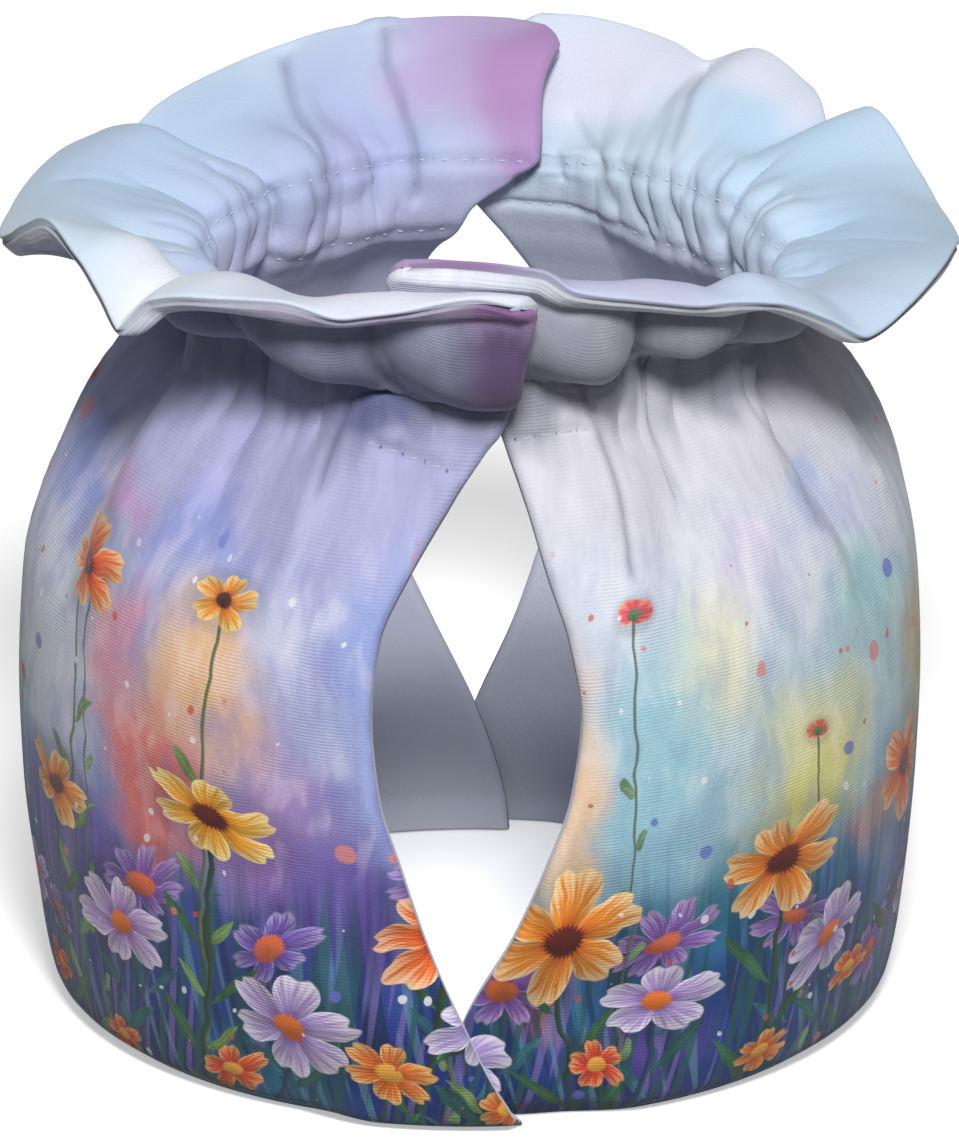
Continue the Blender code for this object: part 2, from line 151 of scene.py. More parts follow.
rightRuffle = (
    (-15.0, 58.5, 142.0, 61.0, 153.5, 64.5, 159.6),
    (0.0, 58.5, 142.0, 61.5, 154.0, 66.0, 159.2),
    (10.0, 61.0, 141.5, 63.0, 155.0, 69.0, 158.0),
    (14.0, 64.0, 141.0, 65.0, 154.2, 71.0, 155.0),
    (19.0, 66.0, 140.5, 66.0, 153.7, 72.0, 153.6),
    (22.0, 65.5, 140.8, 66.5, 153.4, 72.7, 153.0),
    (26.6, 62.5, 142.0, 66.5, 153.0, 73.5, 151.8),
    (32.9, 66.0, 140.8, 67.0, 151.0, 75.0, 150.1),
    (36.8, 67.0, 140.5, 68.0, 149.2, 76.0, 149.7),
    (43.0, 66.0, 140.5, 69.5, 150.8, 78.0, 148.3),
    (46.0, 65.0, 140.0, 70.0, 149.5, 79.5, 146.5),
    (49.0, 67.0, 139.0, 71.0, 147.5, 81.5, 144.0),
    (54.5, 67.0, 138.0, 72.0, 144.0, 85.0, 139.2),
    (63.0, 65.0, 137.5, 73.0, 142.5, 86.3, 141.0),
    (72.0, 63.0, 137.0, 73.0, 141.5, 86.5, 142.0),
    (82.0, 62.0, 136.5, 73.0, 140.0, 86.0, 140.5),
    (96.0, 62.0, 136.0, 73.0, 138.5, 85.8, 135.0),
    (106.0, 62.0, 136.0, 73.0, 138.0, 86.0, 134.0),
    (114.0, 62.0, 136.5, 73.0, 139.0, 86.5, 137.0),
    (123.5, 62.0, 137.5, 73.0, 142.0, 86.2, 144.0),
    (128.7, 61.0, 136.5, 70.0, 138.5, 82.0, 139.2),
    (136.0, 62.0, 138.0, 73.0, 143.0, 86.0, 143.0),
    (143.0, 62.0, 139.0, 73.0, 145.0, 86.0, 147.0),
    (149.2, 61.0, 137.5, 70.0, 141.5, 82.5, 144.0),
    (155.0, 62.0, 137.0, 71.0, 142.5, 84.0, 146.0),
    (165.0, 63.5, 136.5, 73.0, 141.5, 85.5, 148.5),
    (176.0, 65.0, 136.5, 74.0, 139.8, 86.5, 149.8),
)

# turn and level where a fold is faint, turn and level where it is strong, depth, width, and
# whether it falls off softly on both sides or with a step on one
leftFolds = (
    (-44.0, 100.0, -48.0, 134.0, 1.6, 3.5, "soft"),
    (-155.0, 171.0, -149.0, 138.0, 1.8, 3.0, "soft"),
    (-141.0, 156.0, -141.0, 123.0, 1.6, 3.0, "soft"),
    (-130.0, 158.0, -129.0, 121.0, 1.8, 3.0, "soft"),
    (-170.0, 158.0, -168.0, 171.0, 1.4, 2.5, "soft"),
)

rightFolds = (
    (33.0, 104.0, 35.0, 134.0, 1.2, 4.0, "step"),
    (37.5, 112.0, 41.0, 134.0, 1.6, 3.0, "soft"),
    (148.0, 170.0, 142.0, 138.0, 1.6, 3.0, "soft"),
    (128.0, 150.0, 127.0, 122.0, 1.8, 3.0, "soft"),
    (117.0, 146.0, 116.0, 121.0, 1.8, 3.0, "soft"),
    (104.0, 146.0, 103.0, 121.0, 1.8, 3.0, "soft"),
)

# The shoulders' pleats: crests that run down from the neck. Beyond each, away from the front
# slit, the cloth falls off steeply and comes up again to the next. The turn of each crest at the
# pleats' levels, and how far the cloth falls off.
pleatLevels = (92.0, 104.0, 116.0, 128.0)
leftPleats = (
    (-27.5, -27.0, -26.4, -26.4, 3.4), (-61.0, -63.4, -65.6, -67.5, 6.0),
    (-88.0, -90.0, -91.0, -92.0, 3.6), (-110.0, -110.0, -112.0, -112.0, 3.4),
    (-134.0, -135.0, -134.0, -133.0, 3.2), (-163.0, -160.0, -159.0, -158.0, 0.0),
)
rightPleats = (
    (23.0, 22.0, 22.1, 21.0, 4.0), (58.5, 55.4, 54.3, 57.0, 5.6),
    (79.0, 76.0, 74.2, 74.8, 3.4), (100.0, 99.0, 97.0, 97.0, 3.4),
    (127.0, 125.0, 124.0, 123.0, 3.2), (158.0, 156.0, 157.0, 158.0, 0.0),
)

# Sharp creases of one face. The first value is the face, then depth and width, then the
# places (turn, level) that the crease runs through.
leftCreases = (
    ("lining", 2.0, 1.0,
     (-168.5, 172.5), (-167.5, 160.0), (-168.5, 150.0), (-166.5, 134.0), (-166.0, 127.0)),
    ("lining", 2.0, 1.0,
     (-154.9, 172.5), (-152.5, 160.0), (-150.0, 147.0), (-147.2, 134.0), (-147.0, 127.0)),
    ("lining", 1.7, 1.2, (-123.5, 143.0), (-126.0, 137.0), (-127.5, 131.0), (-125.5, 125.0)),
    ("lining", 1.6, 0.9, (-133.0, 137.0), (-135.5, 132.0), (-136.0, 125.0)),
    ("lining", 1.7, 0.9, (-141.0, 135.0), (-142.5, 130.0), (-141.0, 124.0)),
    ("lining", 1.5, 0.9, (-157.5, 140.0), (-158.0, 133.0), (-158.5, 125.0)),
    ("lining", 1.2, 1.0, (-117.5, 136.0), (-119.0, 130.0), (-118.0, 123.0)),
    ("lining", 1.0, 1.0, (-110.0, 138.0), (-109.0, 131.0), (-110.5, 123.0)),
    ("lining", 0.6, 2.4, (-104.0, 166.0), (-108.0, 155.0), (-110.0, 146.0)),
    ("outside", 1.9, 2.2, (-15.0, 160.0), (-16.0, 148.0), (-15.5, 138.0)),
    ("outside", 1.6, 1.8, (-39.5, 158.0), (-40.0, 148.0), (-39.0, 138.0)),
    ("outside", 1.4, 1.0,
     (-16.0, 140.0), (-17.5, 133.0), (-24.5, 129.0), (-26.0, 123.0), (-26.3, 112.0)),
    ("outside", 1.0, 0.7, (-46.0, 139.0), (-48.5, 131.0), (-47.0, 121.0), (-48.0, 113.0)),
    ("outside", 0.9, 0.8, (-52.0, 134.0), (-55.0, 127.0), (-52.5, 122.0)),
    ("outside", 1.1, 0.8, (-67.5, 132.0), (-66.3, 120.0), (-64.3, 110.0), (-62.0, 97.0)),
    ("outside", 0.8, 0.7, (-5.0, 141.0), (-9.0, 131.0), (-8.0, 124.0)),
)

rightCreases = (
    ("lining", 1.6, 1.0, (165.0, 149.0), (162.7, 144.0), (156.5, 133.6), (153.5, 126.0)),
    ("lining", 1.8, 0.9, (148.5, 137.0), (150.5, 133.0), (148.0, 128.5), (144.0, 123.0)),
    ("lining", 1.6, 0.8, (145.5, 134.0), (144.0, 130.0), (142.5, 124.0)),
    ("lining", 1.8, 0.9, (140.5, 135.0), (138.5, 130.0), (134.5, 123.0)),
    ("lining", 1.4, 0.8, (134.5, 137.0), (132.0, 131.0), (130.0, 125.0)),
    ("lining", 1.8, 1.0, (129.5, 141.0), (127.0, 134.0), (124.0, 127.0)),
    ("lining", 1.6, 0.9, (121.5, 138.0), (119.5, 131.0), (113.0, 124.0)),
    ("lining", 1.1, 1.1, (109.0, 142.0), (107.5, 134.0), (105.0, 125.0)),
    ("lining", 1.6, 1.1, (148.5, 171.0), (144.4, 151.0), (142.9, 143.0), (142.0, 136.0)),
    ("lining", 0.6, 2.0, (83.0, 168.0), (86.0, 158.0), (90.0, 146.0), (93.0, 138.0)),
    ("outside", 2.0, 2.2, (26.5, 162.0), (27.5, 150.0), (27.0, 138.0)),
    ("outside", 1.8, 2.2, (46.0, 160.0), (46.5, 149.0), (46.0, 138.0)),
    ("outside", 1.9, 1.0,
     (16.5, 139.0), (19.0, 131.0), (21.8, 124.0), (22.3, 116.0), (22.2, 100.0)),
    ("outside", 1.5, 1.0, (30.0, 138.0), (33.0, 130.0), (33.8, 122.0), (34.5, 112.0)),
    ("outside", 1.0, 0.7, (24.5, 138.0), (27.0, 130.0), (26.0, 124.0)),
    ("outside", 1.1, 0.8, (56.5, 132.0), (54.5, 120.0), (54.3, 110.0), (57.0, 98.0)),
    ("outside", 0.9, 0.9, (73.5, 128.0), (73.8, 116.0), (76.5, 101.0)),
)

panels = {
    "left_panel": {
        "halfTurn": 0.0,
        "outsideEnd": 10.0,
        "insideEnd": -12.8,
        "ruffle": leftRuffle,
        "folds": leftFolds,
        "pleats": leftPleats,
        "creases": leftCreases,
    },
    "right_panel": {
        "halfTurn": 180.0,
        "outsideEnd": -5.1,
        "insideEnd": -14.0,
        "ruffle": rightRuffle,
        "folds": rightFolds,
        "pleats": rightPleats,
        "creases": rightCreases,
    },
}


def eased(part):
    part = np.clip(part, 0.0, 1.0)
    return part * part * (3.0 - 2.0 * part)


def mixed(start, end, part):
    return start + (end - start) * part


def hill(distance, width):
    return np.exp(-((distance / width) ** 2))


def smoothTable(rows):
    # the table's other columns for any value of its first one, smooth and never past the rows
    keys = np.array([row[0] for row in rows])
    values = np.array([row[1:] for row in rows])
    gaps = np.diff(keys)
    rises = np.diff(values, axis=0) / gaps[:, None]
    before, after = rises[:-1], rises[1:]
    same = before * after > 0
    inner = np.where(same, 2 * before * after / np.where(same, before + after, 1.0), 0.0)
    slopes = np.vstack([rises[:1], inner, rises[-1:]])

    def at(key):
        key = np.clip(key, keys[0], keys[-1])
        i = np.clip(np.searchsorted(keys, key, side="right") - 1, 0, len(gaps) - 1)
        part = ((key - keys[i]) / gaps[i])[..., None]
        rise = values[i + 1] - values[i]
        bendIn = slopes[i] * gaps[i][..., None] - rise
        bendOut = rise - slopes[i + 1] * gaps[i][..., None]
        bend = (1 - part) * bendIn + part * bendOut
        return values[i] + rise * part + part * (1 - part) * bend

    return at


bodyReachAt = smoothTable(bodyReachRows)
edgeTurnAt = smoothTable(edgeTurnRows)


def ruffleSection(shape, part):
    # reach and height along the ruffle: out of the neck, round its belly, over its crest
    neck = np.array([bodyReachAt(cosyCloth["seamTop"])[0], cosyCloth["seamTop"]])
    neck = np.broadcast_to(neck, shape.shape[:-1] + (2,))
    points = np.stack([neck, shape[..., 0:2], shape[..., 2:4], shape[..., 4:6]])
    chords = np.diff(points, axis=0)
    lengths = np.linalg.norm(chords, axis=-1)
    ways = chords / lengths[..., None]
    bends = (ways[:-1] + ways[1:]) / 2
    bends = np.concatenate([ways[:1], bends, 2 * ways[-1:] - bends[-1:]])
    ends = np.cumsum(lengths, axis=0)
    along = part * ends[-1]
    i = (along > ends[0]).astype(int) + (along > ends[1]).astype(int)

    def picked(rows):
        return np.take_along_axis(rows, i[None, ..., None], 0)[0]

    length = picked(lengths[..., None])
    t = (along[..., None] - picked((ends - lengths)[..., None])) / length
    return (
        picked(points[:-1]) * (1 + 2 * t) * (1 - t) ** 2
        + picked(points[1:]) * t * t * (3 - 2 * t)
        + picked(bends[:-1]) * length * t * (1 - t) ** 2
        - picked(bends[1:]) * length * t * t * (1 - t)
    )


def foldPush(folds, turn, level, reach):
    # how far the folds draw the cloth in, as a negative push
    cloth = cosyCloth
    push = np.zeros_like(turn)
    for faintTurn, faintLevel, strongTurn, strongLevel, depth, width, kind in folds:
        along = (level - faintLevel) / (strongLevel - faintLevel)
        across = np.radians(turn - mixed(faintTurn, strongTurn, along)) * reach
        if kind == "soft":
            shape = hill(across, width)
        else:
            step = eased(0.5 - across / cloth["foldStep"])
            shape = step * np.exp(-np.maximum(-across, 0.0) / width)
        grown = eased(along / cloth["foldGrows"])
        closing = eased((cloth["foldEnds"] - along) / cloth["foldCloses"])
        inside = (along > 0.0) & (along < cloth["foldEnds"])
        push -= np.where(inside, depth * shape * grown * closing, 0.0)
    return push


def pleatPush(pleats, turn, level):
    # how far the cloth lies back between the shoulders' pleats
    push = np.zeros_like(turn)
    start, grows = cosyCloth["pleatsGrow"]
    gone, fades = cosyCloth["pleatsFade"]
    steep = cosyCloth["pleatSteep"]
    strength = eased((level - start) / grows) * eased((gone - level) / fades)
    for pleat, after in zip(pleats, pleats[1:]):
        crest = np.interp(level, pleatLevels, pleat[:4])
        part = (turn - crest) / (np.interp(level, pleatLevels, after[:4]) - crest)
        slope = np.minimum(part / steep, (1.0 - part) / (1.0 - steep))
        push -= pleat[4] * strength * np.sin(np.clip(slope, 0.0, 1.0) * math.pi / 2)
    return push


# Small unevenness, the same for both panels so that they keep clear where they lap.
softCloth = {
    "waves": (  # waves round the body, waves along the level, size, start
        (5, 0.052, 0.16, 0.3), (7, -0.035, 0.15, 1.9), (11, 0.07, 0.11, 4.1),
        (16, -0.05, 0.09, 2.2), (23, 0.09, 0.06, 5.0),
    ),
    "grow": (8.0, 30.0),  # level where the waves start, and how far they grow
    "fade": (168.0, 10.0),
    "ridges": (  # waves round the neck and start, summed and drawn in at its seams
        (19, 0.4), (31, 2.0), (47, 3.3), (64, 0.9), (83, 5.2),
    ),
    "ridgeSize": 0.45,
    "ridgeSteep": 1.5,
    "ridgeDrawnIn": 0.55,  # how far the ridges' middle lies back
    "ridgesBelow": 4.0,  # how far they reach down from the neck and up from it
    "ridgesAbove": 8.0,
    "calm": (0.8, 14.0),  # share taken off at the slits, where the panels lap, and how far
}


def turnsFromSlit(turns):
    return np.abs((turns + 90.0) % 180.0 - 90.0)


def softPush(turn, level):
    soft = softCloth
    circling = np.radians(turn)
    push = np.zeros_like(turn)
    for waves, climb, size, start in soft["waves"]:
        push += size * np.sin(waves * circling + climb * level + start)
    start, grows = soft["grow"]
    gone, fades = soft["fade"]
    push *= eased((level - start) / grows) * eased((gone - level) / fades)
    ridges = np.zeros_like(turn)
    for waves, start in soft["ridges"]:
        ridges += np.sin(waves * circling + start + 0.8 * np.sin(3 * circling + start))
    ridges = (ridges / len(soft["ridges"])) * soft["ridgeSteep"]
    below, above = cosyCloth["seamLow"] + 1.0 - level, level - cosyCloth["seamTop"] - 1.0
    near = np.exp(-np.maximum(below, 0.0) / soft["ridgesBelow"])
    near *= np.exp(-np.maximum(above, 0.0) / soft["ridgesAbove"])
    share, width = soft["calm"]
    near *= 1.0 - share * hill(turnsFromSlit(turn), width)
    return push + soft["ridgeSize"] * near * (ridges - soft["ridgeDrawnIn"])


# Small gathers that the elastic draws along the seams of the neck, between the placed creases:
# many on the lining, few and short on the outside. Each value is drawn between the two given.
gathers = {
    "lining": {
        "apart": 6.5, "depth": (0.3, 1.5), "width": (0.5, 1.5),
        "above": (2.0, 12.0), "below": (4.0, 13.0),
    },
    "outside": {
        "apart": 11.0, "depth": (0.1, 0.6), "width": (0.6, 1.6),
        "above": (6.0, 14.0), "below": (1.0, 6.0),
    },
    "wander": 0.4,  # share of the distance apart
    "slant": 3.0,
    "clear": 3.2,  # degrees that they keep from a placed crease
    "seed": 7,
}


def gatherCreases(panel):
    chance = np.random.RandomState(gathers["seed"] + int(panel["halfTurn"]))
    start, end = (-190.0, 8.0) if panel["halfTurn"] == 0 else (-12.0, 190.0)
    wander, most = gathers["wander"], gathers["slant"]
    made = []
    for face, seam in (("lining", cosyCloth["seamTop"]), ("outside", cosyCloth["seamLow"])):
        placed = [c[3 + len(c[3:]) // 2][0] for c in panel["creases"] if c[0] == face]
        some = gathers[face]
        for turn in np.arange(start, end, some["apart"]):
            turn += chance.uniform(-wander, wander) * some["apart"]
            depth, width, above, below = (
                chance.uniform(*some[key]) for key in ("depth", "width", "above", "below"))
            slant = chance.uniform(-most, most)
            if min(abs(turn - other) for other in placed) > gathers["clear"]:
                upper, lower = (turn + slant, seam + above), (turn - slant * 0.6, seam - below)
                made.append((face, depth, width, upper, (turn, seam), lower))
    return made


def creaseDepth(creases, face, turns, levels, reach):
    depth = np.zeros_like(turns)
    for side, deep, wide, *places in creases:
        if side != face:
            continue
        rows = sorted((level, turn) for turn, level in places)
        ends = [row[0] for row in rows]
        line = np.interp(levels, ends, [row[1] for row in rows])
        across = np.abs(np.radians(turns - line)) * reach
        # a sharp line in a soft trough
        shape = 0.62 * np.exp(-((across / (0.6 * wide)) ** 1.3)) + 0.38 * hill(across, 3.2 * wide)
        fade = eased((levels - ends[0]) / 4.0 + 0.2) * eased((ends[-1] - levels) / 5.0 + 0.2)
        here = deep * shape * fade
        depth = np.maximum(depth, here) + 0.25 * np.minimum(depth, here)  # crossing creases
    return depth


def faceDips(panel, turns, levels, reach, half):
    # how far the seams and creases sink into the outer face and the lining, which never meet
    creases = list(panel["creases"]) + gatherCreases(panel)
    deep, wide = panelMesh["neckSeam"]
    dips = [
        deep * hill(distance(panel, turns, levels), wide)
        + creaseDepth(creases, face, turns, levels, reach)
        for face, distance in (("outside", outerSeamDistance), ("lining", seamDistance))
    ]
    room = 2.0 * half - panelMesh["leastThick"]
    room = np.maximum(room, 0.0) / np.maximum(dips[0] + dips[1], 0.01)
    return [dip * np.minimum(room, 1.0) for dip in dips]


def panelEdges(panel, level):
    cloth = cosyCloth
    edges = edgeTurnAt(level)
    upRuffle = eased((level - cloth["seamTop"]) / (cloth["rim"] - cloth["seamTop"]))
    outside = mixed(edges[..., 0], panel["outsideEnd"], upRuffle)
    inside = mixed(edges[..., 1], panel["insideEnd"], upRuffle)
    onRuffle = np.maximum(0, level - cloth["seamTop"])
    reach = bodyReachAt(level)[..., 0] + onRuffle * cloth["ruffleSpread"]
    short = np.maximum(0.0, cloth["cornerRound"] - (cloth["rim"] - level))
    corner = cloth["cornerRound"] - np.sqrt(cloth["cornerRound"] ** 2 - short**2)
    corner = np.degrees(corner / reach)
    return outside - corner, inside + corner, reach


def midCloth(panel, turn, level):
    # the middle of a panel's cloth, as points (x, y, z)
    cloth = cosyCloth
    ruffle = panel["ruffleAt"](turn)
    length = cloth["rim"] - cloth["seamTop"]

    def section(at):
        body = np.stack([bodyReachAt(np.minimum(at, cloth["seamTop"]))[..., 0], at], axis=-1)
        part = np.clip((at - cloth["seamTop"]) / length, 0.0, 1.0)
        return np.where((at > cloth["seamTop"])[..., None], ruffleSection(ruffle, part), body)

    # the cloth turns round out of the neck, without a kink
    turning = hill(level - cloth["seamTop"], 8.0)
    wide = cloth["neckRound"] * turning
    here = 0.5 * section(level) + 0.25 * (section(level - wide) + section(level + wide))
    wide = 0.5 + 6.0 * turning
    way = section(np.minimum(level + wide, cloth["rim"])) - section(np.maximum(level - wide, 0.0))
    outward = np.stack([way[..., 1], -way[..., 0] * eased(level / cloth["hemUpright"])], axis=-1)
    outward /= np.linalg.norm(outward, axis=-1)[..., None]
    outside, inside, _ = panelEdges(panel, level)
    span = 180.0 + outside - inside
    fromOutside = panel["halfTurn"] + outside - turn
    lap = 1.0 - eased((180.0 - span) / cloth["lapNeedless"])
    lap = (cloth["thick"] + cloth["lapGap"]) * lap
    lap = lap * (1.0 - eased((level - cloth["seamTop"]) / cloth["lapLeaves"]))
    over = 1.0 - eased((fromOutside - cloth["lapKeeps"]) / cloth["lapEases"])
    under = 1.0 - eased((span - fromOutside - cloth["lapKeeps"]) / cloth["lapEases"])
    push = 0.5 * lap * (over - under)
    push = push + foldPush(panel["folds"], turn, level, here[..., 0]) + softPush(turn, level)
    push = push + pleatPush(panel["pleats"], turn, level)
    here = here + outward * push[..., None]
    lean = cloth["seamTop"] - cloth["leanFrom"]
    aside = cloth["neckAside"] * eased((level - cloth["leanFrom"]) / lean)
    aside = aside * (1.0 - eased((level - cloth["seamTop"]) / cloth["leanLeaves"]))
    angle = np.radians(turn)
    x = cloth["axisX"] + aside + here[..., 0] * np.sin(angle)
    y = cloth["axisY"] - here[..., 0] * np.cos(angle)
    return np.stack([x, y, here[..., 1]], axis=-1)


panelMesh = {
    "strips": 340,  # columns between the rows of the two slit edges
    "edgeSteps": (0.0, 0.09, 0.25, 0.6, 1.1, 1.6, 2.3, 3.3),  # in from a turned edge
    "levels": (  # from, to, step
        (5.0, 93.0, 2.4), (93.0, 117.0, 1.2), (117.0, 141.0, 0.62), (141.0, 168.0, 1.1),
    ),
    "hemSteps": (0.0, 0.35, 0.9, 1.5, 2.2, 3.0, 4.0),
    "rimGroove": (1.1, 0.7),  # the seam along the rim, how deep it lies at its most and least
    "slitGroove": 0.3,
    "cornerTuck": 0.3,
    "rimRoll": 1.1,  # how far the outer cloth rolls over the rim towards the lining
    "rollFrom": 2.3,  # how far in from the rim it starts, and how far from a slit it is full
    "rollFull": 8.0,
    "creasesFrom": 3.0,  # how far in from an edge the creases are full
    "neckSeam": (0.7, 1.0),  # depth, width
    "seamFades": (17.0, 9.0, 4.0),  # turns from a slit, turns over which it fades, how much
    "leastThick": 1.1,  # where creases of both faces meet
    # the painted shade in creases and seams is full at this depth
    "sunkMost": 2.2,  # the depth that the material shades fully
    "longCrease": (30.0, 9.0),  # levels it runs over at least, turns that bend along with it
    "slitKeeps": 9.0,  # turns over which the columns come back to the slit's edge
    "flatReach": 78.0,  # reach at which the cloth is counted as flat
}

# turn, level of the neck's lower seam on the outside
leftSeamLow = (
    (-180.0, 123.0), (-30.0, 123.0), (-19.1, 121.6), (-10.3, 120.0), (-2.9, 118.5), (10.0, 118.0),
)
rightSeamLow = (
    (-10.0, 123.5), (2.0, 123.5), (8.1, 124.0), (16.5, 124.6), (30.0, 124.0), (180.0, 124.0),
)
for panel, rows in zip(panels.values(), (leftSeamLow, rightSeamLow)):
    panel["seamLowAt"] = smoothTable(rows)
    panel["ruffleAt"] = smoothTable(panel["ruffle"])


def halfThick(inset):
    cloth = cosyCloth
    short = 1.0 - np.minimum(inset / cloth["edgeRound"], 1.0)
    return 0.5 * cloth["thick"] * np.sqrt(np.maximum(1.0 - short * short, 0.0))


def creaseShift(panel, turns, levels):
    # The mesh's columns bend to run along the long creases, so that these stay crisp lines.
    shift = np.zeros_like(turns)
    longEnough, wide = panelMesh["longCrease"]
    for _, _, _, *places in panel["creases"]:
        rows = sorted((level, turn) for turn, level in places)
        if rows[-1][0] - rows[0][0] > longEnough:
            line = np.interp(levels, [row[0] for row in rows], [row[1] for row in rows])
            middle = (rows[0][1] + rows[-1][1]) / 2
            shift += (line - middle) * hill(turns - middle, wide)
    return shift


def panelGrid(panel):
    # turns, levels and distances from the nearest edge, rows from the hem up to the rim
    cloth = cosyCloth
    rim = cloth["rim"]
    levels = list(panelMesh["hemSteps"])
    for start, end, step in panelMesh["levels"]:
        levels += list(np.linspace(start, end, round((end - start) / step), endpoint=False))
    levels += [rim - step for step in reversed(panelMesh["edgeSteps"])]
    levels = np.array(levels)
    outside, inside, reach = panelEdges(panel, levels)
    span = 180.0 + outside - inside
    near = np.degrees(np.array(panelMesh["edgeSteps"])[None, :] / reach[:, None])
    part = np.arange(1, panelMesh["strips"]) / panelMesh["strips"]
    turn = mixed(-2.0, -180.0, part)[None, :]
    pullOut = np.maximum(0.0, 1.0 - part / cloth["edgeBlend"]) ** 2
    pullIn = np.maximum(0.0, 1.0 - (1.0 - part) / cloth["edgeBlend"]) ** 2
    turn = turn + (outside - near[:, -1] + 2.0)[:, None] * pullOut[None, :]
    turn = turn + (inside + near[:, -1])[:, None] * pullIn[None, :]
    across = outside[:, None] - turn
    degrees = np.concatenate([near, across, span[:, None] - near[:, ::-1]], axis=1)
    fromSlit = np.minimum(degrees, span[:, None] - degrees)
    shift = creaseShift(panel, panel["halfTurn"] + outside[:, None] - degrees, levels[:, None])
    degrees = degrees - shift * eased(fromSlit / panelMesh["slitKeeps"])
    turns = panel["halfTurn"] + outside[:, None] - degrees
    inset = np.radians(np.minimum(degrees, span[:, None] - degrees)) * reach[:, None]
    levels = np.broadcast_to(levels[:, None], turns.shape)
    return turns, levels, inset


def seamDistance(panel, turns, levels):
    low = panel["seamLowAt"](turns)[..., 0]
    return np.minimum(np.abs(levels - low), np.abs(levels - cosyCloth["seamTop"]))


def outerSeamDistance(panel, turns, levels):
    # on the outside the seams fade away from the slits
    start, over, most = panelMesh["seamFades"]
    faded = most * eased((turnsFromSlit(turns) - start) / over)
    return seamDistance(panel, turns, levels) + faded


# The printed cloth is laid in bands, from these levels up, so that each carries only the plants
# that reach it, which keeps the render quick. The bands join without a step.
printBands = (0.0, 30.0, 50.0, 80.0, 121.0)


def panelFaces(levels):
    # The faces and material slots of both sides of a panel, and which of its points are used: the
    # sides share the points of the rim and of the slit edges.
    rows, columns = levels.shape
    outerIndex = np.arange(rows * columns).reshape(rows, columns)
    shared = np.zeros((rows, columns), bool)
    shared[:, 0] = shared[:, -1] = shared[-1, :] = True
    innerIndex = np.where(shared, outerIndex, outerIndex + rows * columns)
    used = np.zeros(2 * rows * columns, bool)
    used[outerIndex] = used[innerIndex] = True
    renumber = np.cumsum(used) - 1
    outerIndex, innerIndex = renumber[outerIndex], renumber[innerIndex]

    faces, slots = [], []
    for grid, turned in ((outerIndex, False), (innerIndex, True)):
        for i in range(rows - 1):
            for j in range(columns - 1):
                ring = [grid[i, j], grid[i + 1, j], grid[i + 1, j + 1], grid[i, j + 1]]
                slot = 0 if turned else 1 + sum(levels[i, 0] > top for top in printBands[1:])
                if turned:
                    ring.reverse()
                if i == rows - 2 and j in (0, columns - 2):  # corners, split away from the edge
                    free = grid[i, 1] if j == 0 else grid[i, columns - 2]
                    k = ring.index(free)
                    a, b, c, d = ring[k:] + ring[:k]
                    faces += [(a, b, c), (a, c, d)]
                    slots += [slot, slot]
                else:
                    faces.append(tuple(ring))
                    slots.append(slot)
    for j in range(columns - 1):
        ring = [outerIndex[0, j], outerIndex[0, j + 1], innerIndex[0, j + 1], innerIndex[0, j]]
        faces.append(tuple(dict.fromkeys(ring)))
        slots.append(1)
    return faces, slots, used


def newPiece(name, places, faces, slots, materials):
    mesh = bpy.data.meshes.new(name)
    faces = [tuple(int(k) for k in face) for face in faces]
    mesh.from_pydata((places * mm).tolist(), [], faces)
    mesh.polygons.foreach_set("material_index", slots)
    mesh.polygons.foreach_set("use_smooth", np.ones(len(faces), bool))
    for material in materials:
        mesh.materials.append(material)
    mesh.update()
    piece = bpy.data.objects.new(name, mesh)
    bpy.context.scene.collection.objects.link(piece)
    return piece


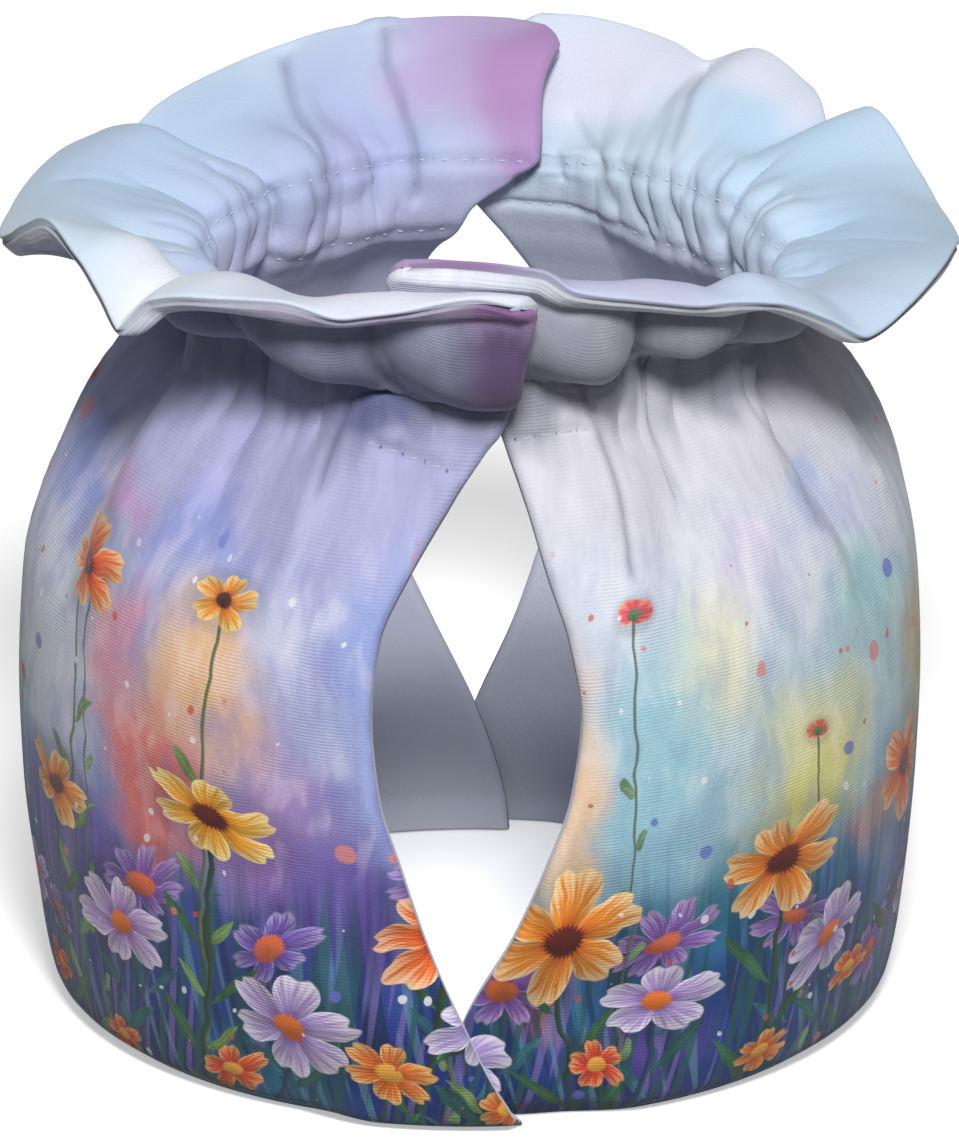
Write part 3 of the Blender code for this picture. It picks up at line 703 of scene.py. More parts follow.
def buildPanel(name, lining, *outerCloths):
    panel, cloth, sizes = panels[name], cosyCloth, panelMesh
    turns, levels, inset = panelGrid(panel)
    middle = midCloth(panel, turns, levels)
    up = np.gradient(middle, axis=0)
    across = np.gradient(middle, axis=1)
    normal = np.cross(up, across)
    normal /= np.linalg.norm(normal, axis=-1)[..., None]
    lean = eased(levels / cloth["hemUpright"])
    flatNormal = normal * np.stack([np.ones_like(lean), np.ones_like(lean), lean], axis=-1)
    flatNormal /= np.linalg.norm(flatNormal, axis=-1)[..., None]
    fromRim = cloth["rim"] - levels
    nearest = np.minimum(inset, fromRim)
    most = mixed(cloth["hemFlat"], cloth["thick"], np.sqrt(lean)) / 2
    half = np.minimum(most, halfThick(nearest))
    keep = eased(nearest / sizes["creasesFrom"])
    reach = np.hypot(middle[..., 0] - cloth["axisX"], middle[..., 1] - cloth["axisY"])
    outerDip, innerDip = faceDips(panel, turns, levels, reach, half)
    roll = sizes["rimRoll"] * (1.0 - eased(fromRim / sizes["rollFrom"]))
    roll = roll * eased(inset / sizes["rollFull"])
    middle = middle - flatNormal * roll[..., None]

    # the seam between the two faces, drawn in along the rim and the slits towards the fifth
    # row in from the edge
    deepest, least = sizes["rimGroove"]
    fifth = sizes["edgeSteps"][4]
    wander = 0.5 + 0.5 * np.sin(np.radians(turns[-1]) * 5 + 1.0)
    tuck = mixed(least, deepest, wander)[:, None] / fifth
    rimLine = mixed(middle[-1], middle[-5], tuck)
    upRuffle = eased((levels[:, 0] - cloth["seamTop"]) / 12.0)
    tuck = mixed(sizes["slitGroove"], least, upRuffle)[:, None] / fifth
    for side, further in ((0, 4), (-1, -5)):
        middle[:, side] = mixed(middle[:, side], middle[:, further], tuck)
    middle[-1, 1:-1] = rimLine[1:-1]
    middle[-1, 0] = mixed(middle[-1, 0], middle[-5, 4], sizes["cornerTuck"])
    middle[-1, -1] = mixed(middle[-1, -1], middle[-5, -5], sizes["cornerTuck"])
    outerFace = middle + flatNormal * (half - outerDip * keep)[..., None]
    innerFace = middle - flatNormal * (np.minimum(half, most - roll) - innerDip * keep)[..., None]

    faces, slots, used = panelFaces(levels)
    places = np.concatenate([outerFace.reshape(-1, 3), innerFace.reshape(-1, 3)])[used]
    piece = newPiece(name + "_dressed", places, faces, slots, (lining, *outerCloths))
    mesh = piece.data
    flat = np.stack([turns * math.pi / 180 * sizes["flatReach"], levels], axis=-1).reshape(-1, 2)
    flat = np.concatenate([flat, flat])[used]
    far = [distance(panel, turns, levels) for distance in (outerSeamDistance, seamDistance)]
    far = np.concatenate([one.reshape(-1) for one in far])[used]
    corners = np.zeros(len(mesh.loops), np.int32)
    mesh.loops.foreach_get("vertex_index", corners)
    cut = mesh.uv_layers.new(name="cut")  # the cloth before it was gathered, in millimetres
    cut.data.foreach_set("uv", flat[corners].astype(np.float32).ravel())
    # how deep the faces sink at creases and seams, which the material turns into painted shade
    sunk = np.concatenate([(outerDip * keep).reshape(-1), (innerDip * keep).reshape(-1)])[used]
    sunk = np.clip(sunk / sizes["sunkMost"], 0.0, 1.0)
    for label, values in (("seamDistance", far), ("sunk", sunk)):
        attribute = mesh.attributes.new(label, "FLOAT", "POINT")
        attribute.data.foreach_set("value", values.astype(np.float32))
    return piece


def colour(code):
    # an sRGB hex value as the linear colour that the shader takes
    parts = [int(code[i:i + 2], 16) / 255 for i in (1, 3, 5)]
    linear = [p / 12.92 if p <= 0.04045 else ((p + 0.055) / 1.055) ** 2.4 for p in parts]
    return (*linear, 1.0)


# what the word after a node's kind chooses, such as the sum that a Math node does
kindChoices = {
    "Math": "operation", "VectorMath": "operation", "Mix": "data_type",
    "MapRange": "interpolation_type", "TexNoise": "noise_dimensions",
    "TexWhiteNoise": "noise_dimensions", "TexVoronoi": "voronoi_dimensions",
}


def feed(tree, socket, value):
    # gives a socket a number, a colour, a hex code, or what another node puts out
    if isinstance(value, bpy.types.Node):
        value = next(out for out in value.outputs if out.enabled)
    if isinstance(value, bpy.types.NodeSocket):
        tree.links.new(value, socket)
    else:
        socket.default_value = colour(value) if isinstance(value, str) else value


def addNode(tree, kind, *values, **named):
    # Adds a node such as "Math ADD". The values go to its sockets in their order. A name is a
    # socket's, or one of the node's own settings where it starts with a small letter.
    kind, _, choice = kind.partition(" ")
    node = tree.nodes.new("ShaderNode" + kind)
    if choice:
        setattr(node, kindChoices[kind], choice)
    for name in [name for name in named if name[0].islower()]:
        setattr(node, name, named.pop(name))
    shown = [socket for socket in node.inputs if socket.enabled]
    for socket, value in zip(shown, values):
        feed(tree, socket, value)
    for name, value in named.items():
        feed(tree, next(socket for socket in shown if socket.name == name), value)
    return node


def newMaterial(name):
    material = bpy.data.materials.new(name)
    material.use_nodes = True
    return material, material.node_tree


def setSurface(tree, values):
    surface = tree.nodes["Principled BSDF"]
    for name, value in values.items():
        feed(tree, surface.inputs[name], value)


def newGroup(name, numbers, colours):
    group = bpy.data.node_groups.new(name, "ShaderNodeTree")
    group.interface.new_socket("Place", in_out="INPUT", socket_type="NodeSocketVector")
    for label in numbers:
        group.interface.new_socket(label, in_out="INPUT", socket_type="NodeSocketFloat")
    for label in colours:
        group.interface.new_socket(label, in_out="INPUT", socket_type="NodeSocketColor")
    group.interface.new_socket("Colour", in_out="OUTPUT", socket_type="NodeSocketColor")
    given = group.nodes.new("NodeGroupInput").outputs
    result = group.nodes.new("NodeGroupOutput").inputs["Colour"]
    return group, given, result


def stemmedBlossomGroup():
    # One plant in each column of cloth: a bent stem with leaves and a petalled head on top. Five
    # petals or more give an open blossom, and a single one a bud.
    group, given, result = newGroup(
        "stemmedBlossom",
        ("Tint", "Column", "Shift", "Seed", "Lowest", "Highest", "Reach", "Share", "Petals",
         "More", "Pinch", "Turned", "Soft", "Ink", "Stem wide", "Eye size"),
        ("Under", "Tip", "Petal", "Throat", "Eye", "Stem", "Leaf"),
    )
    add = partial(addNode, group)

    def chances(seed):
        noise = add("TexWhiteNoise 1D", seed)
        return add("SeparateColor", noise.outputs["Color"]).outputs

    u, v = add("SeparateXYZ", given["Place"]).outputs[:2]

    # which column, and a place across it
    count = add("Math DIVIDE", add("Math ADD", u, given["Shift"]), given["Column"])
    sideways = add(
        "Math MULTIPLY", add("Math SUBTRACT", add("Math FRACT", count), 0.5), given["Column"])
    seed = add("Math ADD", add("Math FLOOR", count), given["Seed"])
    first, second = chances(seed), chances(add("Math ADD", seed, 57.3))
    there = add("Math MULTIPLY", add("Math LESS_THAN", second[0], given["Share"]), given["Ink"])

    # where the head is, and its size
    reach = add("Math MULTIPLY", given["Reach"], add("Math MULTIPLY_ADD", first[0], 0.32, 0.7))
    spare = add("Math MULTIPLY_ADD", given["Reach"], -2.15, given["Column"])
    headX = add("Math MULTIPLY", add("Math SUBTRACT", first[0], 0.5), spare)
    headY = add("MapRange LINEAR", first[1], 0.0, 1.0, given["Lowest"], given["Highest"])

    # stem
    share = add("Math DIVIDE", v, headY)
    down = add("Math POWER", add("Math SUBTRACT", 1.0, share, use_clamp=True), 1.7)
    bend = add("Math MULTIPLY", add("Math SUBTRACT", first[2], 0.5), reach)
    fromStem = add("Math SUBTRACT", sideways, add("Math MULTIPLY_ADD", bend, down, headX))
    stemFar = add("Math ABSOLUTE", fromStem)
    stemEnd = add("Math ADD", given["Stem wide"], 0.35)
    stemInk = add("MapRange SMOOTHSTEP", stemFar, given["Stem wide"], stemEnd, there, 0.0)
    stemInk = add("Math MULTIPLY", stemInk, add("Math LESS_THAN", v, headY))

    # leaves by turns on either side
    rightSide = add("Math GREATER_THAN", fromStem, 0.0)
    phase = add("Math MULTIPLY_ADD", rightSide, 0.5, second[1])
    phase = add("Math MULTIPLY_ADD", v, 1 / leafApart, phase)
    phase = add("Math FRACT", phase)
    rise = add("Math MULTIPLY_ADD", phase, leafApart, -8.0)
    offLine = add("Math ABSOLUTE", add("Math MULTIPLY_ADD", stemFar, -0.95, rise))
    leafPart = add("Math DIVIDE", stemFar, add("Math MULTIPLY", reach, 0.75), use_clamp=True)
    leafHalf = add(
        "Math MULTIPLY", add("Math SINE", add("Math MULTIPLY", leafPart, math.pi)), 1.9)
    leafInk = add(
        "MapRange SMOOTHSTEP", add("Math SUBTRACT", offLine, leafHalf), -0.4, 0.05, there, 0.0)
    leafInk = add("Math MULTIPLY", leafInk, add("Math LESS_THAN", share, 0.74))
    leafTone = add("MapRange LINEAR", given["Tint"], 0.3, 0.7, 0.5, 1.35)
    leafTone = add(
        "Math MULTIPLY", leafTone, add("MapRange SMOOTHSTEP", offLine, 0.0, 0.5, 1.3, 0.95))
    leaf = add("HueSaturation", Color=given["Leaf"], Value=leafTone)
    stemTone = add("MapRange SMOOTHSTEP", fromStem, -0.4, 0.5, 0.7, 1.3)
    stem = add("HueSaturation", Color=given["Stem"], Value=stemTone)
    plant = add("Mix RGBA", leafInk, given["Under"], leaf)
    plant = add("Mix RGBA", stemInk, plant, stem)

    # head: slanted a little and squeezed, as if seen aslant
    rise = add("Math SUBTRACT", v, headY)
    lean = add("Math MULTIPLY_ADD", second[1], 1.2, -0.6)
    headSide = add("Math MULTIPLY_ADD", lean, rise, add("Math SUBTRACT", sideways, headX))
    headUp = add("Math DIVIDE", rise, add("MapRange LINEAR", second[2], 0.0, 1.0, 0.5, 0.95))
    far = add("VectorMath LENGTH", add("CombineXYZ", headSide, headUp))
    around = add("Math ARCTAN2", headUp, headSide)
    petals = add(
        "Math MULTIPLY_ADD", add("Math GREATER_THAN", first[0], 0.5), given["More"],
        given["Petals"])
    petal = add("Math MULTIPLY_ADD", add("Math MULTIPLY", around, petals), 0.5 / math.pi, 0.25)
    petal = add("Math MULTIPLY_ADD", first[2], given["Turned"], petal)
    petalPart = add("Math FRACT", petal)
    petalNumber = add("Math FLOORED_MODULO", add("Math FLOOR", petal), petals)
    petalChance = add("Math MULTIPLY_ADD", seed, 11.7, petalNumber)
    petalChance = add("TexWhiteNoise 1D", petalChance).outputs["Value"]
    petalLong = add("Math MULTIPLY_ADD", petalChance, 0.18, 0.82)
    petalSide = add(
        "Math MULTIPLY", add("Math ABSOLUTE", add("Math SUBTRACT", petalPart, 0.5)), 2.0)
    gap = add("Math MULTIPLY", add("Math POWER", petalSide, 2.6), given["Pinch"])
    notch = add("MapRange SMOOTHSTEP", petalSide, 0.0, 0.28, 0.09, 0.0)
    edge = add("Math SUBTRACT", add("Math SUBTRACT", 1.0, gap), notch)
    edge = add("Math MULTIPLY", add("Math MULTIPLY", edge, reach), petalLong)
    outward = add("Math DIVIDE", far, edge)
    softly = add("Math MULTIPLY", given["Soft"], -1.0)
    headInk = add("MapRange SMOOTHSTEP", add("Math SUBTRACT", far, edge), softly, 0.1, there, 0.0)

    # a shade round the head sets it off from what lies behind
    haloFrom = add("Math MULTIPLY", reach, 0.8)
    halo = add("MapRange SMOOTHSTEP", far, haloFrom, add("Math MULTIPLY", reach, 1.35), 0.26, 0.0)
    halo = add("Math MULTIPLY_ADD", add("Math MULTIPLY", halo, there), -1.0, 1.0)
    plant = add("HueSaturation", Color=plant, Value=halo)

    # petal colours: deep in the throat, lighter at the tip, streaked lengthwise
    coarse = add(
        "Math SINE",
        add("Math MULTIPLY_ADD", petal, 27.0, add("Math MULTIPLY_ADD", outward, 1.1, seed)))
    fine = add(
        "Math SINE", add("Math MULTIPLY_ADD", petal, 63.0, add("Math MULTIPLY", outward, -1.6)))
    streak = add("Math MULTIPLY", add("Math ADD", coarse, fine), 0.5)
    paint = add(
        "Mix RGBA", add("MapRange SMOOTHSTEP", outward, 0.1, 0.55, 0.0, 1.0), given["Throat"],
        given["Petal"])
    tipFrom = add("Math MULTIPLY_ADD", streak, -0.3, 0.55)
    paint = add(
        "Mix RGBA", add("MapRange SMOOTHSTEP", outward, tipFrom, 1.05, 0.0, 1.0), paint,
        given["Tip"])
    shade = add(
        "Math MULTIPLY_ADD", streak, 0.1,
        add("MapRange SMOOTHSTEP", petalPart, 0.0, 0.9, 0.66, 1.1))
    shade = add("Math MULTIPLY", shade, add("Math MULTIPLY_ADD", petalChance, 0.2, 0.86))
    hue = add("Math MULTIPLY_ADD", second[0], 0.05, 0.48)
    paint = add("HueSaturation", Color=paint, Value=shade, Hue=hue)
    eyeFar = add("Math MULTIPLY_ADD", streak, 0.04, add("Math DIVIDE", far, reach))
    eyeInk = add(
        "MapRange SMOOTHSTEP", add("Math SUBTRACT", eyeFar, given["Eye size"]), 0.0, 0.06, 1.0,
        0.0)
    eye = add(
        "HueSaturation", Color=given["Eye"],
        Value=add("MapRange SMOOTHSTEP", headUp, -2.5, 2.5, 0.6, 1.25))
    paint = add("Mix RGBA", eyeInk, paint, eye)
    feed(group, result, add("Mix RGBA", headInk, plant, paint))
    return group


leafApart = 21.0  # millimetres up the stem
stemmedBlossom = stemmedBlossomGroup()


# A generic meadow: blossoms of five to eight petals, buds, leaves and grass on a ground that runs
# from deep blue at the hem to pale lilac at the neck. Places are in the flat cloth, across from
# the front slit and up from the hem.
leftPrint = {
    "blend": "EASE",
    "washEdge": (1.15, 0.25),
    "ground": (  # level, colour
        (0, "#1f2a58"), (14, "#2c4184"), (32, "#465ca0"), (50, "#868ec8"), (70, "#b3bae0"),
        # painted shade: from level 130 to about 162 the ground is darkened under the ruffle and
        # on its underside, and it turns pale again at the rim
        (96, "#b6bae0"), (118, "#b2b4d8"), (130, "#85869f"), (154, "#85869f"),
        (162, "#9c9eb8"), (166, "#ccd0e6"), (170, "#dfe3f1"),
    ),
    "washes": (  # across, up, half width, half height, colour, strength
        (-98, 76, 30, 36, "#dfe3ee", 0.85), (-62, 58, 15, 26, "#f07f66", 0.85),
        (-50, 78, 15, 18, "#f8c890", 0.85), (-72, 82, 12, 14, "#ee9ba6", 0.7),
        (-38, 56, 14, 22, "#b77fc0", 0.6), (-24, 44, 18, 20, "#6f4fa6", 0.7),
        (-14, 84, 12, 34, "#98ace6", 0.7), (-34, 92, 14, 12, "#dfe4f2", 0.6),
        (-88, 38, 20, 16, "#7a4fa4", 0.6), (-106, 100, 18, 9, "#6f86d2", 0.6),
        (-84, 106, 14, 8, "#d49cc6", 0.6), (-60, 104, 16, 10, "#8f9bdc", 0.6),
        (-114, 58, 12, 22, "#9fd6d0", 0.6), (-40, 10, 22, 11, "#3d8092", 0.6),
        (-10, 14, 16, 13, "#3a3f93", 0.7), (-76, 12, 24, 13, "#43307f", 0.55),
        (-150, 62, 22, 26, "#f3a77f", 0.75), (-178, 80, 20, 24, "#b7dbe6", 0.75),
        (-212, 58, 24, 26, "#8a63b4", 0.7), (-240, 84, 18, 28, "#eee3a6", 0.65),
        # painted shade: the grey-blue wash at level 128 darkens the neck under the ruffle's
        # front, and the deep purple one at level 149 is purple print darkened as painted shade on
        # the ruffle's underside
        (-190, 14, 30, 14, "#2f5c8c", 0.6), (-24, 128, 15, 8, "#626c9a", 0.7),
        (12, 149, 20, 16, "#5f4a6e", 0.95), (12, 173, 23, 17, "#a881b6", 1.0),
        (-24, 172, 22, 6, "#c9bcdc", 0.7),
    ),
    "blots": ("#efe2ea", "#8f86cc"),
    "plants": {  # column, shift, seed, lowest, highest, reach, share
        "midBlossoms": (30, 19, 15.0, 16, 54, 12.0, 1.0),
        "buds": (21, 9, 23.0, 62, 108, 4.0, 0.45),
        "highBlossoms": (46, 16, 34.0, 82, 105, 12.0, 0.8),
        "blossoms": (42, 25, 43.0, 36, 59, 17.0, 1.0),
        "paleBlossoms": (38, 13, 59.0, 12, 31, 15.5, 0.95),
        "nearBlossoms": (27, 2, 63.0, 5, 17, 9.0, 0.85),
    },
}

rightPrint = {
    "blend": "EASE",
    "washEdge": (1.15, 0.25),
    "ground": (
        (0, "#22306a"), (14, "#2a4d92"), (32, "#467db2"), (50, "#93bfd2"), (70, "#c6dce6"),
        # painted shade: from level 130 to about 162 the ground is darkened under the ruffle and
        # on its underside, and it turns pale again at the rim
        (96, "#d4dae8"), (118, "#d8d6e0"), (130, "#9a9aa8"), (154, "#9a9aa8"),
        (162, "#b0b1c2"), (166, "#d6d8e6"), (170, "#e6e8f2"),
    ),
    "washes": (
        (66, 60, 18, 18, "#efe688", 0.85), (46, 84, 14, 18, "#f3eec2", 0.7),
        (32, 70, 14, 28, "#a3d6e6", 0.75), (12, 66, 11, 34, "#fad2a8", 0.85),
        (90, 84, 20, 16, "#a9dede", 0.65), (112, 64, 14, 20, "#d3b545", 0.75),
        (84, 104, 16, 9, "#a9b9e8", 0.6), (58, 100, 14, 8, "#e3d6ea", 0.6),
        (30, 14, 18, 11, "#6d4f9f", 0.7), (76, 20, 26, 16, "#27498f", 0.7),
        (108, 34, 18, 16, "#6f5fae", 0.65), (48, 36, 16, 14, "#3f93a6", 0.65),
        (10, 32, 10, 16, "#e0825f", 0.65), (88, 46, 14, 10, "#e79a86", 0.55),
        (150, 60, 22, 26, "#f1b184", 0.75), (186, 82, 20, 26, "#c2b7e4", 0.75),
        (220, 60, 22, 24, "#7fb4c9", 0.7), (246, 86, 16, 26, "#b6bfe8", 0.65),
        (190, 14, 30, 14, "#463a8a", 0.6), (-2, 158, 26, 17, "#dddde8", 0.9),
        # painted shade: this grey wash darkens the neck under the ruffle's front
        (24, 130, 12, 7, "#86858c", 0.6),
    ),
    "blots": ("#f4f0ea", "#9fb4da"),
    "plants": {
        "midBlossoms": (29, 8, 76.0, 16, 52, 12.0, 1.0),
        "buds": (20, 3, 83.0, 58, 106, 4.0, 0.45),
        "highBlossoms": (47, 30, 95.0, 74, 100, 10.5, 0.7),
        "blossoms": (43, 5, 107.0, 36, 59, 17.5, 1.0),
        "paleBlossoms": (39, 20, 119.0, 12, 30, 16.0, 0.95),
        "nearBlossoms": (28, 12, 131.0, 5, 17, 9.0, 0.85),
    },
}

# Far plants first. "More" is how many petals some of the heads have besides, "Ink" how strongly
# the plant is painted, "Soft" how softly the head ends, and the last six values are colours.
plantPaints = {
    "midBlossoms": {
        "Petals": 6.0, "More": 2.0, "Pinch": 0.6, "Turned": 1.0, "Soft": 0.9, "Ink": 0.85,
        "Stem wide": 0.3, "Eye size": 0.24, "Tip": "#cdb6ea", "Petal": "#8a61bd",
        "Throat": "#4b2a86", "Eye": "#e8702c", "Stem": "#38506a", "Leaf": "#39707a",
    },
    "buds": {
        "Petals": 1.0, "More": 0.0, "Pinch": 0.62, "Turned": 0.0, "Soft": 0.5, "Ink": 0.9,
        "Stem wide": 0.14, "Eye size": 0.3, "Tip": "#f6a98c", "Petal": "#e9684a",
        "Throat": "#a83f3a", "Eye": "#5c7350", "Stem": "#6a7462", "Leaf": "#7f9f6e",
    },
    "highBlossoms": {
        "Petals": 5.0, "More": 1.0, "Pinch": 0.55, "Turned": 1.0, "Soft": 0.5, "Ink": 0.95,
        "Stem wide": 0.24, "Eye size": 0.2, "Tip": "#f8d592", "Petal": "#ee8a34",
        "Throat": "#c8381c", "Eye": "#4a1f1c", "Stem": "#66764a", "Leaf": "#7f9f5c",
    },
    "blossoms": {
        "Petals": 5.0, "More": 1.0, "Pinch": 0.5, "Turned": 1.0, "Soft": 0.45, "Ink": 1.0,
        "Stem wide": 0.42, "Eye size": 0.2, "Tip": "#ffdaa4", "Petal": "#f28c34",
        "Throat": "#c93a1a", "Eye": "#5a2018", "Stem": "#2f4a3c", "Leaf": "#3a6648",
    },
    "paleBlossoms": {
        "Petals": 5.0, "More": 1.0, "Pinch": 0.46, "Turned": 1.0, "Soft": 0.5, "Ink": 0.97,
        "Stem wide": 0.4, "Eye size": 0.2, "Tip": "#f0e9f8", "Petal": "#bfa6de",
        "Throat": "#6f45aa", "Eye": "#ea7a2e", "Stem": "#2c4660", "Leaf": "#2f5f5c",
    },
    "nearBlossoms": {
        "Petals": 5.0, "More": 1.0, "Pinch": 0.5, "Turned": 1.0, "Soft": 0.45, "Ink": 0.95,
        "Stem wide": 0.3, "Eye size": 0.24, "Tip": "#fbc27c", "Petal": "#ea6a30",
        "Throat": "#a82a1c", "Eye": "#f3b04a", "Stem": "#2f4f4a", "Leaf": "#3f7a5a",
    },
}

clothFinishAndShade = {
    "ribPitch": 0.58,  # millimetres from rib to rib, as counted on the photograph
    # painted shade in the ribs' grooves
    "ribShade": 0.024,
    "ribHeight": 0.058,  # millimetres
    "ridgePitch": 1.0,  # millimetres, of the ridges along the rim
    "ridges": ((164.5, 166.5, 0.0, 1.0), (168.5, 170.0, 1.0, 0.2)),  # levels, shares
    # painted light and shade along the rim's ridges
    "ridgeShade": 0.05,
    # painted shade in the creases and seams
    "creaseShade": 0.66,  # how dark the deepest creases are
    # painted shade in the seam groove at the rim
    "rimSeam": (171.7, 171.95),  # levels, the groove between the two faces
    "fuzz": 0.7,  # millimetres, coarser than real so that it shows
    "roughness": 0.82,
    "sheen": 0.18,
}


# how the print is painted, in millimetres
paintHand = {
    "runs": 26.0,  # size of the runs in the wet paint
    "runsShift": (24.0, 30.0),  # how far they carry the colours
    "brushMark": (7.0, 16.0),
    "brushBend": 7.0,
    "brushed": ((44.0, 60.0), (92.0, 122.0)),  # levels where the marks come in and fade out
    "grassTop": (18.0, 60.0),  # where the grass starts to thin and where it ends
    "blade": (2.2, 55.0),
    "grass": (  # lean, bend, offset, dark and pale colour
        (0.3, -0.003, 0.0, "#1b3358", "#6fa6b4"), (-0.25, 0.0022, 40.0, "#2a5a5c", "#8f7fc4"),
    ),
    "shake": (15.0, 4.0),  # length and size of the bends in drawn lines
    "specksTop": (92.0, 118.0),
    "specks": (  # apart, share, size, pale and deep colour
        (5.5, 0.2, 0.13, "#f4f4fa", "#d8503c"), (11.0, 0.22, 0.17, "#e58f86", "#6a74c8"),
    ),
}


def dyeAndPaintedShade(tree, place, design):
    # a ground that changes with the level, and soft washes of colour over it; for the printed
    # cloth some stops and washes are painted shade under and on the ruffle
    add = partial(addNode, tree)
    up = add("SeparateXYZ", place).outputs[1]
    paint = add("ValToRGB", add("Math DIVIDE", up, cosyCloth["rim"]))
    stops = paint.color_ramp
    stops.interpolation = design["blend"]
    while len(stops.elements) < len(design["ground"]):
        stops.elements.new(0.5)
    for stop, (level, code) in zip(stops.elements, design["ground"]):
        stop.position, stop.color = level / cosyCloth["rim"], colour(code)
    start, end = design["washEdge"]
    for across, level, halfWide, halfHigh, code, strength in design["washes"]:
        wash = add(
            "VectorMath MULTIPLY_ADD", place, (1 / halfWide, 1 / halfHigh, 0.0),
            (-across / halfWide, -level / halfHigh, 0.0))
        wash = add("VectorMath LENGTH", wash)
        wash = add("MapRange SMOOTHSTEP", wash, start, end, 0.0, strength)
        paint = add("Mix RGBA", wash, paint, code)
    return paint


def printedCloth(name, design, bottom):
    # Polyester, woven with a fine cross rib and sublimation printed: matt, with a soft sheen at
    # its turned edges and ribs that break the print up, their grooves painted darker as shade.
    # The layers are laid from the ground up.
    material, tree = newMaterial("%sFrom%d" % (name, bottom))
    add = partial(addNode, tree)
    hand = paintHand
    cut = add("UVMap", uv_map="cut").outputs["UV"]
    u, v = add("SeparateXYZ", cut).outputs[:2]

    # the place on the cloth, shifted to and fro as wet paint runs
    runs = add("TexNoise 2D", Vector=cut, Scale=1 / hand["runs"], Detail=2.5, Roughness=0.6)
    far = hand["runsShift"]
    wet = add("VectorMath MULTIPLY_ADD", runs.outputs["Color"], (*far, 0.0), cut)
    wet = add("VectorMath SUBTRACT", wet, (far[0] / 2, far[1] / 2, 0.0))
    wetUp = add("SeparateXYZ", wet).outputs[1]
    paint = dyeAndPaintedShade(tree, wet, design)

    # blots and brush marks, mostly upright
    bend = (hand["brushBend"], hand["brushBend"], 0.0)
    brushPlace = add("VectorMath MULTIPLY_ADD", runs.outputs["Color"], bend, cut)
    markWide, markHigh = hand["brushMark"]
    brushPlace = add("VectorMath MULTIPLY", brushPlace, (1 / markWide, 1 / markHigh, 0.0))
    brush = add("TexNoise 2D", Vector=brushPlace, Scale=1.0, Detail=2.5, Roughness=0.65)
    comesIn, fadesOut = hand["brushed"]
    middle = add(
        "Math MULTIPLY", add("MapRange SMOOTHSTEP", wetUp, *comesIn, 0.0, 1.0),
        add("MapRange SMOOTHSTEP", wetUp, *fadesOut, 1.0, 0.15))
    tint = brush.outputs["Fac"]
    for (start, end), code in zip(((0.52, 0.66), (0.47, 0.34)), design["blots"]):
        blot = add("MapRange SMOOTHSTEP", tint, start, end, 0.0, 0.24)
        blot = add("Math MULTIPLY", blot, middle)
        paint = add("Mix RGBA", blot, paint, code)
    paint = add(
        "HueSaturation", Color=paint, Value=add("MapRange LINEAR", tint, 0.25, 0.75, 0.92, 1.08),
        Saturation=1.04)

    # grass: slanting, bending strokes that thin out upwards
    thins = add("MapRange SMOOTHSTEP", wetUp, *hand["grassTop"], 1.0, 0.0)
    bladeWide, bladeHigh = hand["blade"]
    for lean, bend, offset, dark, pale in hand["grass"] if bottom < hand["grassTop"][1] else ():
        slant = add("Math MULTIPLY_ADD", v, bend, lean)
        slant = add("Math MULTIPLY_ADD", slant, v, u)
        stroke = add(
            "CombineXYZ", add("Math MULTIPLY_ADD", slant, 1 / bladeWide, offset),
            add("Math MULTIPLY", v, 1 / bladeHigh))
        stroke = add("TexNoise 2D", Vector=stroke, Scale=1.0, Detail=0.0)
        for code, start, end, most in ((dark, 0.58, 0.66, 0.75), (pale, 0.38, 0.31, 0.5)):
            blade = add("MapRange SMOOTHSTEP", stroke, start, end, 0.0, most)
            blade = add("Math MULTIPLY", blade, thins)
            paint = add("Mix RGBA", blade, paint, code)

    # plants, far to near, in a slightly shaky hand
    shakeLong, shake = hand["shake"]
    shaky = add("VectorMath SCALE", Vector=wet, Scale=1 / shakeLong)
    shaky = add("TexNoise 2D", Vector=shaky, Scale=1.0, Detail=1.5, Roughness=0.6)
    shift = add("SeparateColor", shaky.outputs["Color"]).outputs
    lowered = add("Math ADD", v, -shake / 2)
    drawn = add(
        "CombineXYZ", add("Math MULTIPLY_ADD", shift[0], shake, u),
        add("Math MULTIPLY_ADD", shift[1], shake, lowered))
    for kind, looks in plantPaints.items():
        labels = ("Column", "Shift", "Seed", "Lowest", "Highest", "Reach", "Share")
        row = dict(zip(labels, design["plants"][kind]))
        if row["Highest"] + row["Reach"] + 3.0 >= bottom:  # the others don't grow so high
            paint = add(
                "Group", node_tree=stemmedBlossom, Place=drawn, Tint=tint, Under=paint, **row,
                **looks)

    # flicked specks of paint
    notHigh = add("MapRange SMOOTHSTEP", wetUp, *hand["specksTop"], 1.0, 0.0)
    for apart, share, size, pale, deep in hand["specks"] if bottom < hand["specksTop"][1] else ():
        specks = add("TexVoronoi 2D", Vector=drawn, Scale=1 / apart, Randomness=0.9)
        chance = add("SeparateColor", specks.outputs["Color"]).outputs
        dot = add("Math MULTIPLY_ADD", chance[1], -size, specks.outputs["Distance"])
        dot = add("MapRange SMOOTHSTEP", dot, 0.0, 0.04, 0.8, 0.0)
        some = add("Math LESS_THAN", chance[0], share)
        some = add("Math MULTIPLY", some, notHigh)
        dot = add("Math MULTIPLY", dot, some)
        speck = add("Math GREATER_THAN", chance[2], 0.6)
        speck = add("Mix RGBA", speck, pale, deep)
        paint = add("Mix RGBA", dot, paint, speck)

    finishAndShadeCloth(tree, paint, cut, 1.0, bottom == printBands[-1])
    return material


